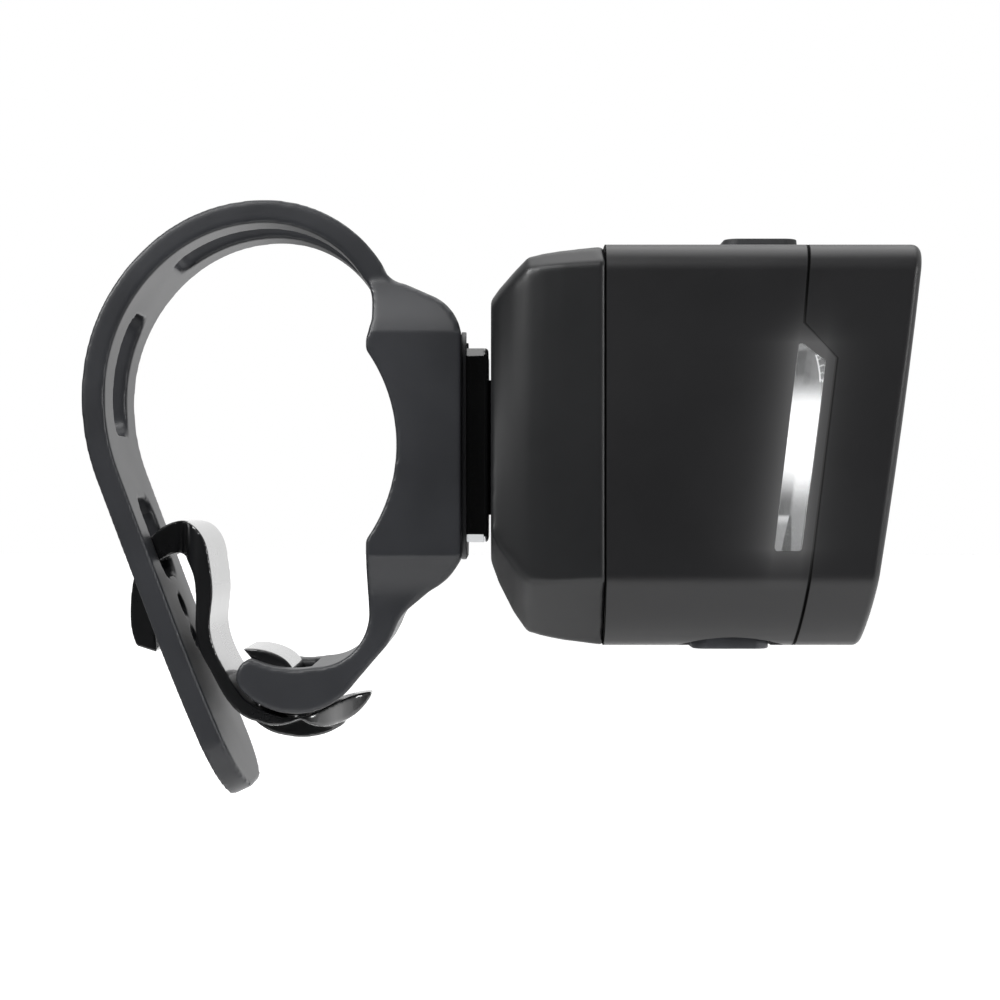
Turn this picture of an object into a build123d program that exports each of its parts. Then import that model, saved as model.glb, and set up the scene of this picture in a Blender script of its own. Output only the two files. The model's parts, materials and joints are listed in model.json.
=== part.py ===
"""Bike headlight on a rubber handlebar strap, one STEP file for each piece.

Frame: the origin is on the handlebar's axis, halfway across the strap. +X is the way the
light shines, +Z is up and Y runs along the handlebar. Lengths are millimetres, angles degrees.
"""

import os
from math import cos, pi, radians, sin

from build123d import *

# Handlebar and saddle
BAR_R = 17.5  # the cradle fits a 35 mm handlebar
SADDLE_HALF = 12.0
SADDLE_BACK_X = BAR_R * 1.392
SADDLE_TOP_Z = BAR_R * 0.68571
SADDLE_FOOT_Z = -BAR_R * 0.68
SADDLE_TAPER = 5.6

# Strap
STRAP_HALF = 10.0
STRAP_T = 2.45
STRAP_START_X = BAR_R * 0.8571
STRAP_START_Z = BAR_R * 1.0514
STRAP_HEADING = 120.5
CROWN_R, CROWN_TURN = BAR_R * 0.7657, 57.0
BACK_R, BACK_TURN = BAR_R * 0.9771, 41.0
SIDE_R, SIDE_TURN = BAR_R * 1.1657, 48.7
FOOT_R, FOOT_TURN = BAR_R * 1.3657, 23.4
TAIL_RUN = BAR_R * 0.9886
TAIL_R, TAIL_TURN = BAR_R * 13.7143, 4.73
TAIL_CORNER = 7.0
SLOT_HALF = 4.3
SLOT_CORNER = 2.2
LONG_SLOT_AT, LONG_SLOT = BAR_R * 0.1257, BAR_R * 1.3943
SECOND_SLOT_AT, SECOND_SLOT = BAR_R * 1.92, BAR_R * 0.8343
THIRD_SLOT_AT, THIRD_SLOT = BAR_R * 3.1771, BAR_R * 0.5371
EYELETS_AT, EYELET_PITCH, EYELET_R = BAR_R * 3.9086, BAR_R * 0.2286, 1.3

# Hook, hung in the arm's eye
PIVOT_X = BAR_R * 0.25371
PIVOT_Z = BAR_R * -1.49714
HOOK_RISE = BAR_R * 1.0343  # from the pivot to the top of the arch
HOOK_HALF = 8.5
HOOK_NECK_HALF = 3.7
HOOK_NECK_X = BAR_R * -0.4343
HOOK_SHOULDER_X = BAR_R * -0.2057
TAB_HALF = 2.2  # at its tip
TAB_WAIST_X, TAB_WAIST_HALF = BAR_R * 0.6629, 3.2
TAB_ROOT_X = BAR_R * 0.3429
KEEL_HALF = 2.6
BARB_HALF = 6.35
BARREL_R = 1.9
TRUNNION_R = 1.1
TRUNNION_LEN = 2.0
TRUNNION_CLEAR = 0.07
EYE_CLEAR = 0.35
EYE_BACK_X = BAR_R * 0.1143
EYE_FRONT_X = BAR_R * 0.4514
EYE_BAR_TOP_Z = BAR_R * -1.375

# Dock
PLATE_T = 0.54
DOCK_T = 2.37
DOCK_X = SADDLE_BACK_X + PLATE_T
DOCK_FRONT_X = DOCK_X + DOCK_T
DOCK_HALF_Y = 10.0
DOCK_HALF_Z = 10.4
DOCK_BEVEL = 0.85
DOCK_LIP_T = 0.52
DOCK_LIP_ROUND = 0.4
TUB_HALF_Y = 8.2
TUB_FOOT_Z = -9.4
TUB_DEPTH = 3.3
TUB_BACK_X = DOCK_X - TUB_DEPTH
TUB_FLOOR = 1.7
TUB_CLEAR = 0.1
LIP_T = 0.97
CHANNEL_HALF_Y = 7.2
CHANNEL_FOOT_Z = -8.0
THROAT_HALF_Y = 5.2

# Base plate, the rigid insert of the saddle that the dock sits in
INSERT_RIM = 0.8
INSERT_DEPTH = 4.9
INSERT_HALF_Y = 9.3
INSERT_HALF_Z = DOCK_HALF_Z + INSERT_RIM
PLATE_RIM = 1.1
PLATE_HALF_Z = INSERT_HALF_Z + PLATE_RIM
PLATE_HALF_Y = 10.6
PLATE_CORNER = 3.0

# Foot of the light, which slides in the dock
FOOT_CLEAR = 0.2
FOOT_HALF_Y = CHANNEL_HALF_Y - FOOT_CLEAR
FOOT_HALF_Z = 7.8
STEM_HALF_Y = THROAT_HALF_Y - FOOT_CLEAR
STEM_TOP_Z = 7.2
STEM_FOOT_Z = -7.5
SPIGOT_HALF_Y = 4.0
SPIGOT_HALF_Z = 6.0
SPIGOT_DEPTH = 0.8

# Spring tongue of the dock
CATCH_T = 0.5
CATCH_HALF_Y = 2.8
CATCH_TOP_Z = 7.4
CATCH_SIDE_CLEAR = 0.2
NIB_Z = 3.0
NIB_LEN = 2.0
NIB_RISE = 1.2
NIB_CLEAR = 0.15
STAKE_R = 0.6
STAKE_Y = 1.5
STAKE_Z = 5.9
STAKE_CLEAR = 0.05

# Screws
SCREW_R = 1.0
SCREW_HEAD_R = 1.8
SCREW_HEAD_T = 1.2
SOCKET_R = 0.65
SOCKET_DEPTH = 0.7
SCREW_CLEAR = 0.1
DOCK_SCREW_Y, DOCK_SCREW_Z = 5.0, 6.0
DOCK_SCREW_BITE = 1.6
FOOT_SCREW_Z = 4.0
FOOT_SCREW_BITE = 2.6
CASE_SCREW_HIGH_Z = 11.0
CASE_SCREW_LOW_Z = -8.6
CASE_SCREW_SINK = 1.3
CASE_SCREW_LEN = 14.5
BOSS_R = 2.4

# Head of the light
HEAD_GAP = 0.33
HEAD_BACK_X = DOCK_FRONT_X + HEAD_GAP
HEAD_HALF = 20.0
CASE_SCREW_INSET = 6.6
CASE_SCREW_Y = HEAD_HALF - CASE_SCREW_INSET
HEAD_TOP_Z = 20.62
HEAD_FOOT_Z = -21.2
WALL = 2.0
TOP_ROUND = 3.0
CHINE_Z = -14.0
CHINE_REACH = 6.2
FLOOR_HALF = HEAD_HALF - CHINE_REACH
CHINE_BOW = 0.85
CHINE_ROUND = 3.6
FLOOR_ROUND = 3.6

# Rear shell, between its back face, its break line and the seam
SLANT_RUN, REAR_RUN = 3.8, 7.96
BREAK_X = HEAD_BACK_X + SLANT_RUN
SEAM_X = BREAK_X + REAR_RUN
EDGE_CUT = 1.9
GASKET_T = 0.6
GASKET_W = 0.9

# Slanted seam of the front shell
CORE_RUN = 21.09
SEAM_TOP_X = SEAM_X + CORE_RUN
SEAM_STEP, SEAM_KNEE, SEAM_HEEL = 0.75, 2.6, 1.2
SEAM_STEP_X, SEAM_STEP_Z = SEAM_TOP_X - SEAM_STEP, 12.3
SEAM_KNEE_X, SEAM_KNEE_Z = SEAM_TOP_X + SEAM_KNEE, 8.7
SEAM_FOOT_X = SEAM_TOP_X - SEAM_HEEL
FIT = 0.05

# Front face and its lens
FRONT_RUN, FACE_LEAN, FACE_FALL = 11.8, 2.7, 6.1
FACE_TOP_X = SEAM_TOP_X + FRONT_RUN
FACE_MID_X, FACE_MID_Z = FACE_TOP_X - FACE_LEAN, -0.3
FACE_FOOT_X = FACE_TOP_X - FACE_FALL
FACE_ROUND = 0.9
RIM = 1.7
LEDGE = 1.3
LENS_T = 2.0
LENS_SINK = 0.35
LENS_GASKET_T = 0.5
LENS_CLEAR = 0.08

# Side windows
WINDOW_TOP_Z, WINDOW_FOOT_Z = 10.5, -11.1
WINDOW_SET_BACK, WINDOW_TOE, WINDOW_PEAK, WINDOW_SHOULDER = 3.83, 2.83, 2.58, 5.33
WINDOW_HEEL_X = SEAM_TOP_X - WINDOW_SET_BACK
WINDOW_TOE_X = WINDOW_HEEL_X + WINDOW_TOE
WINDOW_PEAK_X = WINDOW_HEEL_X + WINDOW_PEAK
WINDOW_SHOULDER_X = WINDOW_HEEL_X + WINDOW_SHOULDER
WINDOW_SHOULDER_Z = 8.4
WINDOW_SINK = 0.15
WINDOW_FLANGE = 0.7
WINDOW_FLANGE_T = 0.7

# Power button
BUTTON_SET_BACK, BUTTON_LEN = 4.0, 8.8
BUTTON_X = SEAM_TOP_X - BUTTON_SET_BACK
BUTTON_HALF = 8.0
BUTTON_RISE = 1.76
BUTTON_DRAFT = 0.9
BUTTON_CORNER = 2.0
BUTTON_FLANGE = 0.8
BUTTON_FLANGE_T = 0.7
BUTTON_CLEAR = 0.15
BUTTON_TRAVEL = 0.8
BUTTON_POST_R = 1.3
POST_GAP = 0.06  # left over the switch when the button is fully pressed
BRIDGE_RUN = 5.95
BRIDGE_X = BUTTON_X + BRIDGE_RUN
BRIDGE_HALF = 9.6
BRIDGE_FOOT_Z = 15.0

# Port cover and the port above it
COVER_SET_BACK, COVER_LEN = 3.6, 8.1
COVER_FRONT_X = SEAM_TOP_X - COVER_SET_BACK
COVER_BACK_X = COVER_FRONT_X - COVER_LEN
COVER_LAP, COVER_HINGE_INSET = 0.2, 2.4
COVER_NEAR_Y = -FLOOR_HALF - COVER_LAP
COVER_HINGE_Y = FLOOR_HALF - COVER_HINGE_INSET
COVER_T = 1.3
COVER_PROUD = 0.35
COVER_CORNER = 1.6
COVER_CLEAR = 0.25
COVER_PLUG_X, COVER_PLUG_Y, COVER_PLUG_H = 3.0, 8.6, 1.0
PLUG_CLEAR = 0.35
SCOOP_R = 18.0
SCOOP_INSET = 0.3
SCOOP_REACH = FLOOR_HALF - SCOOP_INSET
PORT_T, PORT_W, PORT_H = 3.2, 8.94, 6.6
PORT_MOUTH_T, PORT_MOUTH_W, PORT_MOUTH_DEEP = 2.56, 8.34, 5.4
PORT_TONGUE_T, PORT_TONGUE_W = 0.7, 6.7
PORT_GAP = 0.1

# Electronics and optics
BOARD_T = 1.0
BOARD_INSET = 6.0
BOARD_HALF = HEAD_HALF - BOARD_INSET
BOARD_TOP_Z, BOARD_FOOT_Z = 15.6, -18.2
SWITCH_T, SWITCH_HALF, SWITCH_H = 4.6, 3.0, 3.4
SWITCH_TOP_Z = 15.2
PLUNGER_R, PLUNGER_H = 1.0, 0.5
SINK_SET_BACK, SINK_T = 4.85, 1.8
SINK_X = SEAM_TOP_X - SINK_SET_BACK
SINK_TOP_Z = 10.8
SINK_RELIEF = 1.2
FIN_COUNT, FIN_T, FIN_DEEP, FIN_PITCH = 7, 0.9, 1.9, 3.6
FIN_FOOT_Z, FIN_TOP_Z = -12.2, 9.6
LED_BOARD_T = 0.8
LED_BOARD_INSET = 3.7
LED_BOARD_HALF, LED_BOARD_HALF_Z = HEAD_HALF - LED_BOARD_INSET, 10.4
LED_Y, LED_SIDE, LED_T = HEAD_HALF * 0.41, 3.5, 0.7
DOME_R = 1.25
OPTIC_R, OPTIC_THROAT_R, OPTIC_DEEP = HEAD_HALF * 0.395, 3.4, 4.8
OPTIC_WEB_T, OPTIC_WEB_RIM = 1.2, 0.7
OPTIC_WEB_HALF_Z = OPTIC_R + OPTIC_WEB_RIM
OPTIC_LEG_R, OPTIC_LEG_CLEAR, OPTIC_LEG_Z = 0.9, 1.5, 7.4
SIDE_BOARD_T, SIDE_BOARD_LEN, SIDE_BOARD_HALF_Z = 0.6, 2.6, 8.0
SIDE_BOARD_INSET = 4.3
SIDE_BOARD_Y = HEAD_HALF - SIDE_BOARD_INSET
OPTIC_LEG_Y = SIDE_BOARD_Y - OPTIC_LEG_CLEAR
SIDE_LED_PITCH, SIDE_LED_SIDE, SIDE_LED_T = 4.6, 1.8, 0.7
PACK_X, PACK_T = BREAK_X, 12.0
PACK_INSET, PACK_HALF_Z, PACK_ROUND = 9.8, 15.4, 1.6
PACK_HALF_Y = HEAD_HALF - PACK_INSET
FOAM_INSET, FOAM_HALF_Z = 2.2, 9.6
FOAM_HALF_Y = PACK_HALF_Y - FOAM_INSET
LEAD_R, LEAD_Y, LEAD_PITCH, LEAD_Z, LEAD_RISE = 0.55, 3.0, 1.4, 10.0, 3.0
OVER = 1.0  # how far a cut runs past the faces it opens

SIDE = Plane.XZ  # side view, seen along Y
NECK_BACK_SHARES = [(0.9, 1.114), (0.945, 1.034), (1.045, 0.985)]
SHOULDER_SHARES = [(1.2, 0.915), (1.334, 0.815), (1.392, 0.663)]
HIP_SHARES = [(1.392, -0.68), (1.331, -0.789), (1.206, -0.886)]
KNEE_SHARES = [(1.086, -0.986), (1.014, -1.066), (0.983, -1.137)]
SHIN_SHARES = [(0.937, -1.223), (0.843, -1.331), (0.703, -1.497)]
SOLE_SHARES = [(0.703, -1.497), (0.4, -1.643), (0.063, -1.514)]
TOE_SHARES = [(0.063, -1.514), (0.015, -1.411), (0.094, -1.311)]
ARM_TOP_SHARES = [(0.094, -1.311), (0.297, -1.369), (0.5, -1.36)]
INNER_BEND_SHARES = [(0.5, -1.36), (0.733, -1.263), (0.829, -1.031)]
LAND_SHARES = [(0.829, -1.031), (0.815, -0.76), (0.815, 0.64), (0.851, 0.766), (0.851, 0.869)]
INNER_NECK_SHARES = [(0.851, 0.869), (0.831, 0.966), (0.78, 1.046)]
HOOK_BACK_SHARES = [
    (0.548, -0.049), (0.387, -0.083), (0.26, -0.133), (0.136, -0.17), (-0.069, -0.133), (-0.175, -0.073),
    (-0.276, 0.058), (-0.36, 0.219), (-0.396, 0.385), (-0.381, 0.54), (-0.399, 0.766),
    (-0.428, 0.884), (-0.538, 0.994), (-0.649, 0.992), (-0.765, 0.923), (-0.853, 0.785),
    (-0.897, 0.638), (-0.914, 0.486), (-0.906, 0.331), (-0.875, 0.238),
]
HOOK_MOUTH_SHARES = [
    (-0.754, 0.199), (-0.77, 0.37), (-0.798, 0.492), (-0.848, 0.619), (-0.809, 0.696),
    (-0.709, 0.768), (-0.615, 0.803), (-0.538, 0.751), (-0.485, 0.587), (-0.485, 0.403),
    (-0.467, 0.249), (-0.396, 0.11), (-0.324, -0.025), (-0.211, -0.155), (-0.11, -0.198),
]
LOBE_SHARES = [(-0.11, -0.198), (0.003, -0.221), (0.081, -0.206), (0.141, -0.178)]
TAB_SHARES = [(0.141, -0.178), (0.195, -0.215), (0.266, -0.235), (0.399, -0.214), (0.47, -0.168),
              (0.512, -0.121), (0.542, -0.073), (0.548, -0.049)]
KEEL_SHARES = [
    (-0.212, -0.17), (-0.108, -0.266), (-0.06, -0.291), (0.032, -0.315), (0.123, -0.324),
    (0.214, -0.315), (0.294, -0.291), (0.343, -0.266), (0.379, -0.242), (0.39, -0.16),
]
BARB_SHARES = [(-0.217, 0.231), (-0.173, 0.233), (-0.053, 0.214), (0.036, 0.17), (0.086, 0.113)]

# Sections of the rear shell from its back face to the seam. Each row has shares of the shell's
# length, the half-width for the top and for the bevel, the top, the foot, the height of the
# bevel, the floor's half-width and the cut corner.
REAR_SHARES = [
    (0, 0.83, 0.96, 0.723, 0.58, 0.425, 0.65, 0.47),
    (0.072, 0.875, 0.968, 0.779, 0.69, 0.5, 0.66, 0.53),
    (0.204, 0.9375, 0.982, 0.862, 0.834, 0.594, 0.675, 0.6),
    (0.323, 0.9775, 0.995, 0.927, 0.928, 0.67, 0.685, 0.68),
    (0.459, 0.9925, 0.9985, 0.946, 0.95, 0.67, 0.69, 0.76),
    (0.629, 0.9985, 0.9995, 0.962, 0.969, 0.668, 0.69, 0.84),
    (1, 1, 1, 0.99, 0.9955, 0.66, 0.69, 1),
]


def scaled(shares, unit, centre=(0, 0)):
    """Points of the side view from shares of one size."""
    return [(centre[0] + x * unit, centre[1] + z * unit) for x, z in shares]


def side_prism(face, near_y, far_y):
    """A face of the side view, made solid from near_y to far_y."""
    solid = extrude(SIDE * face, amount=(far_y - near_y) / 2, both=True)
    return Pos(0, (near_y + far_y) / 2, 0) * solid


def polygon(points):
    return make_face(Polyline(*points, close=True))


def block(x, y, z):
    """A rectangular solid from three (low, high) pairs."""
    size = [high - low for low, high in (x, y, z)]
    middle = [(low + high) / 2 for low, high in (x, y, z)]
    return Pos(*middle) * Box(*size)


def rod_x(x_low, x_high, radius, y=0, z=0):
    """A round bar along X."""
    return Pos((x_low + x_high) / 2, y, z) * Rot(0, 90, 0) * Cylinder(radius, x_high - x_low)


def rod_y(y_low, y_high, radius, x, z):
    """A round bar along Y."""
    return Pos(x, (y_low + y_high) / 2, z) * Rot(90, 0, 0) * Cylinder(radius, y_high - y_low)


def rod_z(z_low, z_high, radius, x, y):
    return Pos(x, y, (z_low + z_high) / 2) * Cylinder(radius, z_high - z_low)


def screw(x_head, length, y, z, points_back=True):
    """Countersunk socket screw along X with its head's face at x_head."""
    way = -1 if points_back else 1
    shank = rod_x(*sorted((x_head, x_head + way * length)), SCREW_R, y, z)
    cone = Pos(x_head + way * SCREW_HEAD_T / 2, y, z) * Rot(0, 90 * -way, 0)
    head = cone * Cone(SCREW_R, SCREW_HEAD_R, SCREW_HEAD_T)
    socket = rod_x(*sorted((x_head - way * OVER, x_head + way * SOCKET_DEPTH)), SOCKET_R, y, z)
    return shank + head - socket


def screw_hole(x_head, length, y, z, points_back=True):
    """The clearance that the same screw needs in the piece it passes through."""
    way = -1 if points_back else 1
    shank = rod_x(*sorted((x_head, x_head + way * length)), SCREW_R + SCREW_CLEAR, y, z)
    cone = Pos(x_head + way * SCREW_HEAD_T / 2, y, z) * Rot(0, 90 * -way, 0)
    head = cone * Cone(SCREW_R + SCREW_CLEAR, SCREW_HEAD_R + SCREW_CLEAR, SCREW_HEAD_T)
    mouth = rod_x(*sorted((x_head, x_head - way * OVER)), SCREW_HEAD_R + SCREW_CLEAR, y, z)
    return shank + head + mouth


STRAP_LEGS = [
    (CROWN_R, CROWN_TURN), (BACK_R, BACK_TURN), (SIDE_R, SIDE_TURN), (FOOT_R, FOOT_TURN),
    (0, TAIL_RUN), (TAIL_R, TAIL_TURN),
]


def strap_stations():
    """Where each leg of the strap's centre line starts: (distance, x, z, heading, leg)."""
    stations = []
    run, x, z, heading = 0, STRAP_START_X, STRAP_START_Z, STRAP_HEADING
    for radius, amount in STRAP_LEGS:
        length = radius * radians(amount) if radius else amount
        stations.append((run, length, x, z, heading, radius))
        if radius:
            centre_x = x - radius * sin(radians(heading))
            centre_z = z + radius * cos(radians(heading))
            heading += amount
            x = centre_x + radius * sin(radians(heading))
            z = centre_z - radius * cos(radians(heading))
        else:
            x += length * cos(radians(heading))
            z += length * sin(radians(heading))
        run += length
    return stations


STATIONS = strap_stations()
STRAP_LENGTH = STATIONS[-1][0] + STATIONS[-1][1]


def strap_edge(start, stop, offset):
    """Edges of the strap's course from start to stop, moved outwards by offset."""
    edges = []
    for run, length, x, z, heading, radius in STATIONS:
        low, high = max(start, run), min(stop, run + length)
        if high <= low:
            continue
        if radius:
            centre = (x - radius * sin(radians(heading)), z + radius * cos(radians(heading)))
            begin = heading - 90 + (low - run) / radius * 180 / pi
            sweep = (high - low) / radius * 180 / pi
            edges.append(CenterArc(centre, radius + offset, begin, sweep))
        else:
            side = (sin(radians(heading)) * offset, -cos(radians(heading)) * offset)
            ends = [
                (x + cos(radians(heading)) * step + side[0],
                 z + sin(radians(heading)) * step + side[1])
                for step in (low - run, high - run)
            ]
            edges.append(Line(*ends))
    return edges


def strap_band(start, stop, thickness, half):
    """A length of strap, or a cutter of its shape, between two distances along the course."""
    outer = strap_edge(start, stop, thickness / 2)
    inner = strap_edge(start, stop, -thickness / 2)
    caps = [Line(outer[0] @ 0, inner[0] @ 0), Line(outer[-1] @ 1, inner[-1] @ 1)]
    return side_prism(make_face([*outer, *inner, *caps]), -half, half)


def strap_point(distance):
    """Point and heading on the strap's centre line."""
    for run, length, x, z, heading, radius in STATIONS:
        if distance <= run + length or run == STATIONS[-1][0]:
            step = distance - run
            if not radius:
                return x + cos(radians(heading)) * step, z + sin(radians(heading)) * step, heading
            turned = heading + step / radius * 180 / pi
            centre_x = x - radius * sin(radians(heading))
            centre_z = z + radius * cos(radians(heading))
            return (centre_x + radius * sin(radians(turned)),
                    centre_z - radius * cos(radians(turned)), turned)


def end_edges(band, place):
    """The edges of a band that run through its thickness at one distance along the course."""
    x, z, _ = strap_point(place)
    return [
        edge for edge in band.edges()
        if abs((edge @ 0).Y - (edge @ 1).Y) < FIT
        and (edge.center() - Vector(x, edge.center().Y, z)).length < FIT
    ]


def strap_slot(start, length):
    """Cutter for a slot that follows the strap's course, with rounded ends."""
    cutter = strap_band(start, start + length, STRAP_T * 3, SLOT_HALF)
    return fillet(end_edges(cutter, start) + end_edges(cutter, start + length), SLOT_CORNER)


def strap():
    """The slotted strap, from the saddle's shoulder to its rounded tail."""
    band = strap_band(0, STRAP_LENGTH, STRAP_T, STRAP_HALF)
    band = fillet(end_edges(band, STRAP_LENGTH), TAIL_CORNER)
    for start, length in (
        (LONG_SLOT_AT, LONG_SLOT), (SECOND_SLOT_AT, SECOND_SLOT), (THIRD_SLOT_AT, THIRD_SLOT)
    ):
        band -= strap_slot(start, length)
    for place in (EYELETS_AT, EYELETS_AT + EYELET_PITCH):
        x, z, heading = strap_point(place)
        band -= Pos(x, 0, z) * Rot(0, 90 - heading, 0) * Rot(0, 90, 0) * Cylinder(
            EYELET_R, STRAP_T * 3
        )
    return band


def saddle_profile():
    """Side view of the saddle and its lower arm, before the handlebar is cut out."""
    corner = [scaled(shares, BAR_R) for shares in (
        NECK_BACK_SHARES, SHOULDER_SHARES, HIP_SHARES, KNEE_SHARES, SHIN_SHARES, SOLE_SHARES,
        TOE_SHARES, ARM_TOP_SHARES, INNER_BEND_SHARES, LAND_SHARES, INNER_NECK_SHARES
    )]
    neck, shoulder, hip, knee, shin, sole, toe, arm, bend, land, inner = corner
    edges = [ThreePointArc(*part) for part in (
        neck, shoulder, hip, knee, shin, sole, toe, arm, bend, inner
    )]
    edges += [
        Line(neck[-1], shoulder[0]), Line(shoulder[-1], hip[0]), Line(hip[-1], knee[0]),
        Line(knee[-1], shin[0]), Polyline(*land), Line(inner[-1], neck[0]),
    ]
    return make_face(edges)


def saddle_front():
    """Front view that narrows the saddle to the strap above and to the arm below."""
    top, foot = SADDLE_TOP_Z, SADDLE_FOOT_Z
    middle = (STRAP_HALF + SADDLE_HALF) / 2
    bow = (SADDLE_HALF - STRAP_HALF) / 4
    reach = HEAD_HALF * 2
    edges = []
    for way in (1, -1):
        edges += [
            Line((way * STRAP_HALF, -reach), (way * STRAP_HALF, foot - SADDLE_TAPER)),
            ThreePointArc(
                (way * STRAP_HALF, foot - SADDLE_TAPER),
                (way * (middle - bow), foot - SADDLE_TAPER / 2),
                (way * SADDLE_HALF, foot),
            ),
            Line((way * SADDLE_HALF, foot), (way * SADDLE_HALF, top)),
            ThreePointArc(
                (way * SADDLE_HALF, top), (way * (middle + bow / 2), top + SADDLE_TAPER / 2),
                (way * STRAP_HALF, top + SADDLE_TAPER),
            ),
            Line((way * STRAP_HALF, top + SADDLE_TAPER), (way * STRAP_HALF, reach)),
        ]
    edges += [
        Line((-STRAP_HALF, reach), (STRAP_HALF, reach)),
        Line((-STRAP_HALF, -reach), (STRAP_HALF, -reach)),
    ]
    return extrude(Plane.YZ * make_face(edges), amount=HEAD_HALF * 2)


def rubber_strap():
    saddle = side_prism(saddle_profile(), -SADDLE_HALF, SADDLE_HALF)
    saddle = saddle & saddle_front()
    saddle -= rod_y(-SADDLE_HALF - OVER, SADDLE_HALF + OVER, BAR_R, 0, 0)
    whole = saddle + strap()
    back, front = EYE_BACK_X, EYE_FRONT_X
    eye_half = BARB_HALF + EYE_CLEAR
    low = PIVOT_Z - HOOK_RISE
    whole -= block((back, front), (-eye_half, eye_half), (low, EYE_BAR_TOP_Z + HOOK_RISE / 3))
    whole -= block(
        (back - STRAP_T, front), (-eye_half, eye_half),
        (EYE_BAR_TOP_Z, EYE_BAR_TOP_Z + STRAP_T),
    )
    socket_end = BARB_HALF + TRUNNION_LEN + EYE_CLEAR
    whole -= rod_y(-socket_end, socket_end, TRUNNION_R + TRUNNION_CLEAR, PIVOT_X, PIVOT_Z)
    whole -= insert_body()
    whole -= plate_body()
    groove_x = TUB_BACK_X + TUB_FLOOR
    whole -= block(
        (groove_x, SADDLE_BACK_X + OVER), (-TUB_HALF_Y, TUB_HALF_Y),
        (INSERT_HALF_Z - OVER, HEAD_TOP_Z),
    )
    return whole


def insert_body():
    """The part of the base plate that the rubber is moulded round."""
    return block(
        (SADDLE_BACK_X - INSERT_DEPTH, SADDLE_BACK_X),
        (-INSERT_HALF_Y, INSERT_HALF_Y), (-INSERT_HALF_Z, INSERT_HALF_Z),
    )


def plate_body():
    sheet = RectangleRounded(PLATE_HALF_Y * 2, PLATE_HALF_Z * 2, PLATE_CORNER)
    return extrude(Plane.YZ.offset(SADDLE_BACK_X) * sheet, amount=PLATE_T)


def base_plate():
    plate = insert_body() + plate_body()
    plate -= block(
        (TUB_BACK_X, DOCK_X + OVER), (-TUB_HALF_Y - TUB_CLEAR, TUB_HALF_Y + TUB_CLEAR),
        (TUB_FOOT_Z - TUB_CLEAR, HEAD_TOP_Z),
    )
    for y in (-DOCK_SCREW_Y, DOCK_SCREW_Y):
        for z in (-DOCK_SCREW_Z, DOCK_SCREW_Z):
            plate -= rod_x(TUB_BACK_X - DOCK_SCREW_BITE, DOCK_X, SCREW_R, y, z)
    return plate


def dock_receiver():
    """Glossy dock: a bevelled block with a thin lip, a tub in the saddle and a T channel."""
    lip_x = DOCK_FRONT_X - DOCK_LIP_T
    body = block((DOCK_X, lip_x), (-DOCK_HALF_Y, DOCK_HALF_Y), (-DOCK_HALF_Z, DOCK_HALF_Z))
    body = chamfer(body.edges().filter_by(Axis.X), DOCK_BEVEL)
    lip = block((lip_x, DOCK_FRONT_X), (-DOCK_HALF_Y, DOCK_HALF_Y), (-DOCK_HALF_Z, DOCK_HALF_Z))
    lip = fillet(lip.edges().filter_by(Axis.X), DOCK_BEVEL)
    lip = fillet(lip.faces().sort_by(Axis.X)[-1].edges(), DOCK_LIP_ROUND)
    tub = block(
        (TUB_BACK_X, DOCK_X), (-TUB_HALF_Y, TUB_HALF_Y), (TUB_FOOT_Z, DOCK_HALF_Z),
    )
    dock = body + lip + tub
    channel_x = TUB_BACK_X + TUB_FLOOR
    dock -= block(
        (channel_x, DOCK_FRONT_X - LIP_T), (-CHANNEL_HALF_Y, CHANNEL_HALF_Y),
        (CHANNEL_FOOT_Z, HEAD_TOP_Z),
    )
    dock -= block(
        (channel_x, DOCK_FRONT_X + OVER), (-THROAT_HALF_Y, THROAT_HALF_Y),
        (CHANNEL_FOOT_Z, HEAD_TOP_Z),
    )
    recess_half = CATCH_HALF_Y + CATCH_SIDE_CLEAR
    dock -= block(
        (channel_x - CATCH_T, channel_x + CATCH_T), (-recess_half, recess_half),
        (TUB_FOOT_Z - OVER, CATCH_TOP_Z + CATCH_SIDE_CLEAR),
    )
    for y in (-STAKE_Y, STAKE_Y):
        dock += rod_x(channel_x - CATCH_T, channel_x, STAKE_R, y, STAKE_Z)
    for y in (-DOCK_SCREW_Y, DOCK_SCREW_Y):
        for z in (-DOCK_SCREW_Z, DOCK_SCREW_Z):
            dock -= screw_hole(channel_x, TUB_FLOOR + OVER, y, z)
    return dock


def dock_screws():
    length = TUB_FLOOR + DOCK_SCREW_BITE
    return [
        screw(TUB_BACK_X + TUB_FLOOR, length, y, z)
        for y in (-DOCK_SCREW_Y, DOCK_SCREW_Y) for z in (-DOCK_SCREW_Z, DOCK_SCREW_Z)
    ]


def release_catch():
    """Spring tongue in the tub's floor, with a nib in the foot's notch."""
    face_x = TUB_BACK_X + TUB_FLOOR
    tongue = block(
        (face_x - CATCH_T, face_x), (-CATCH_HALF_Y, CATCH_HALF_Y), (TUB_FOOT_Z, CATCH_TOP_Z)
    )
    nib = polygon([
        (face_x, NIB_Z - NIB_LEN), (face_x + NIB_RISE, NIB_Z), (face_x + NIB_RISE, NIB_Z + NIB_LEN),
        (face_x, NIB_Z + NIB_LEN),
    ])
    catch = tongue + side_prism(nib, -CATCH_HALF_Y + NIB_CLEAR, CATCH_HALF_Y - NIB_CLEAR)
    for y in (-STAKE_Y, STAKE_Y):
        catch -= rod_x(face_x - CATCH_T - OVER, face_x + OVER, STAKE_R + STAKE_CLEAR, y, STAKE_Z)
    return catch


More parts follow.
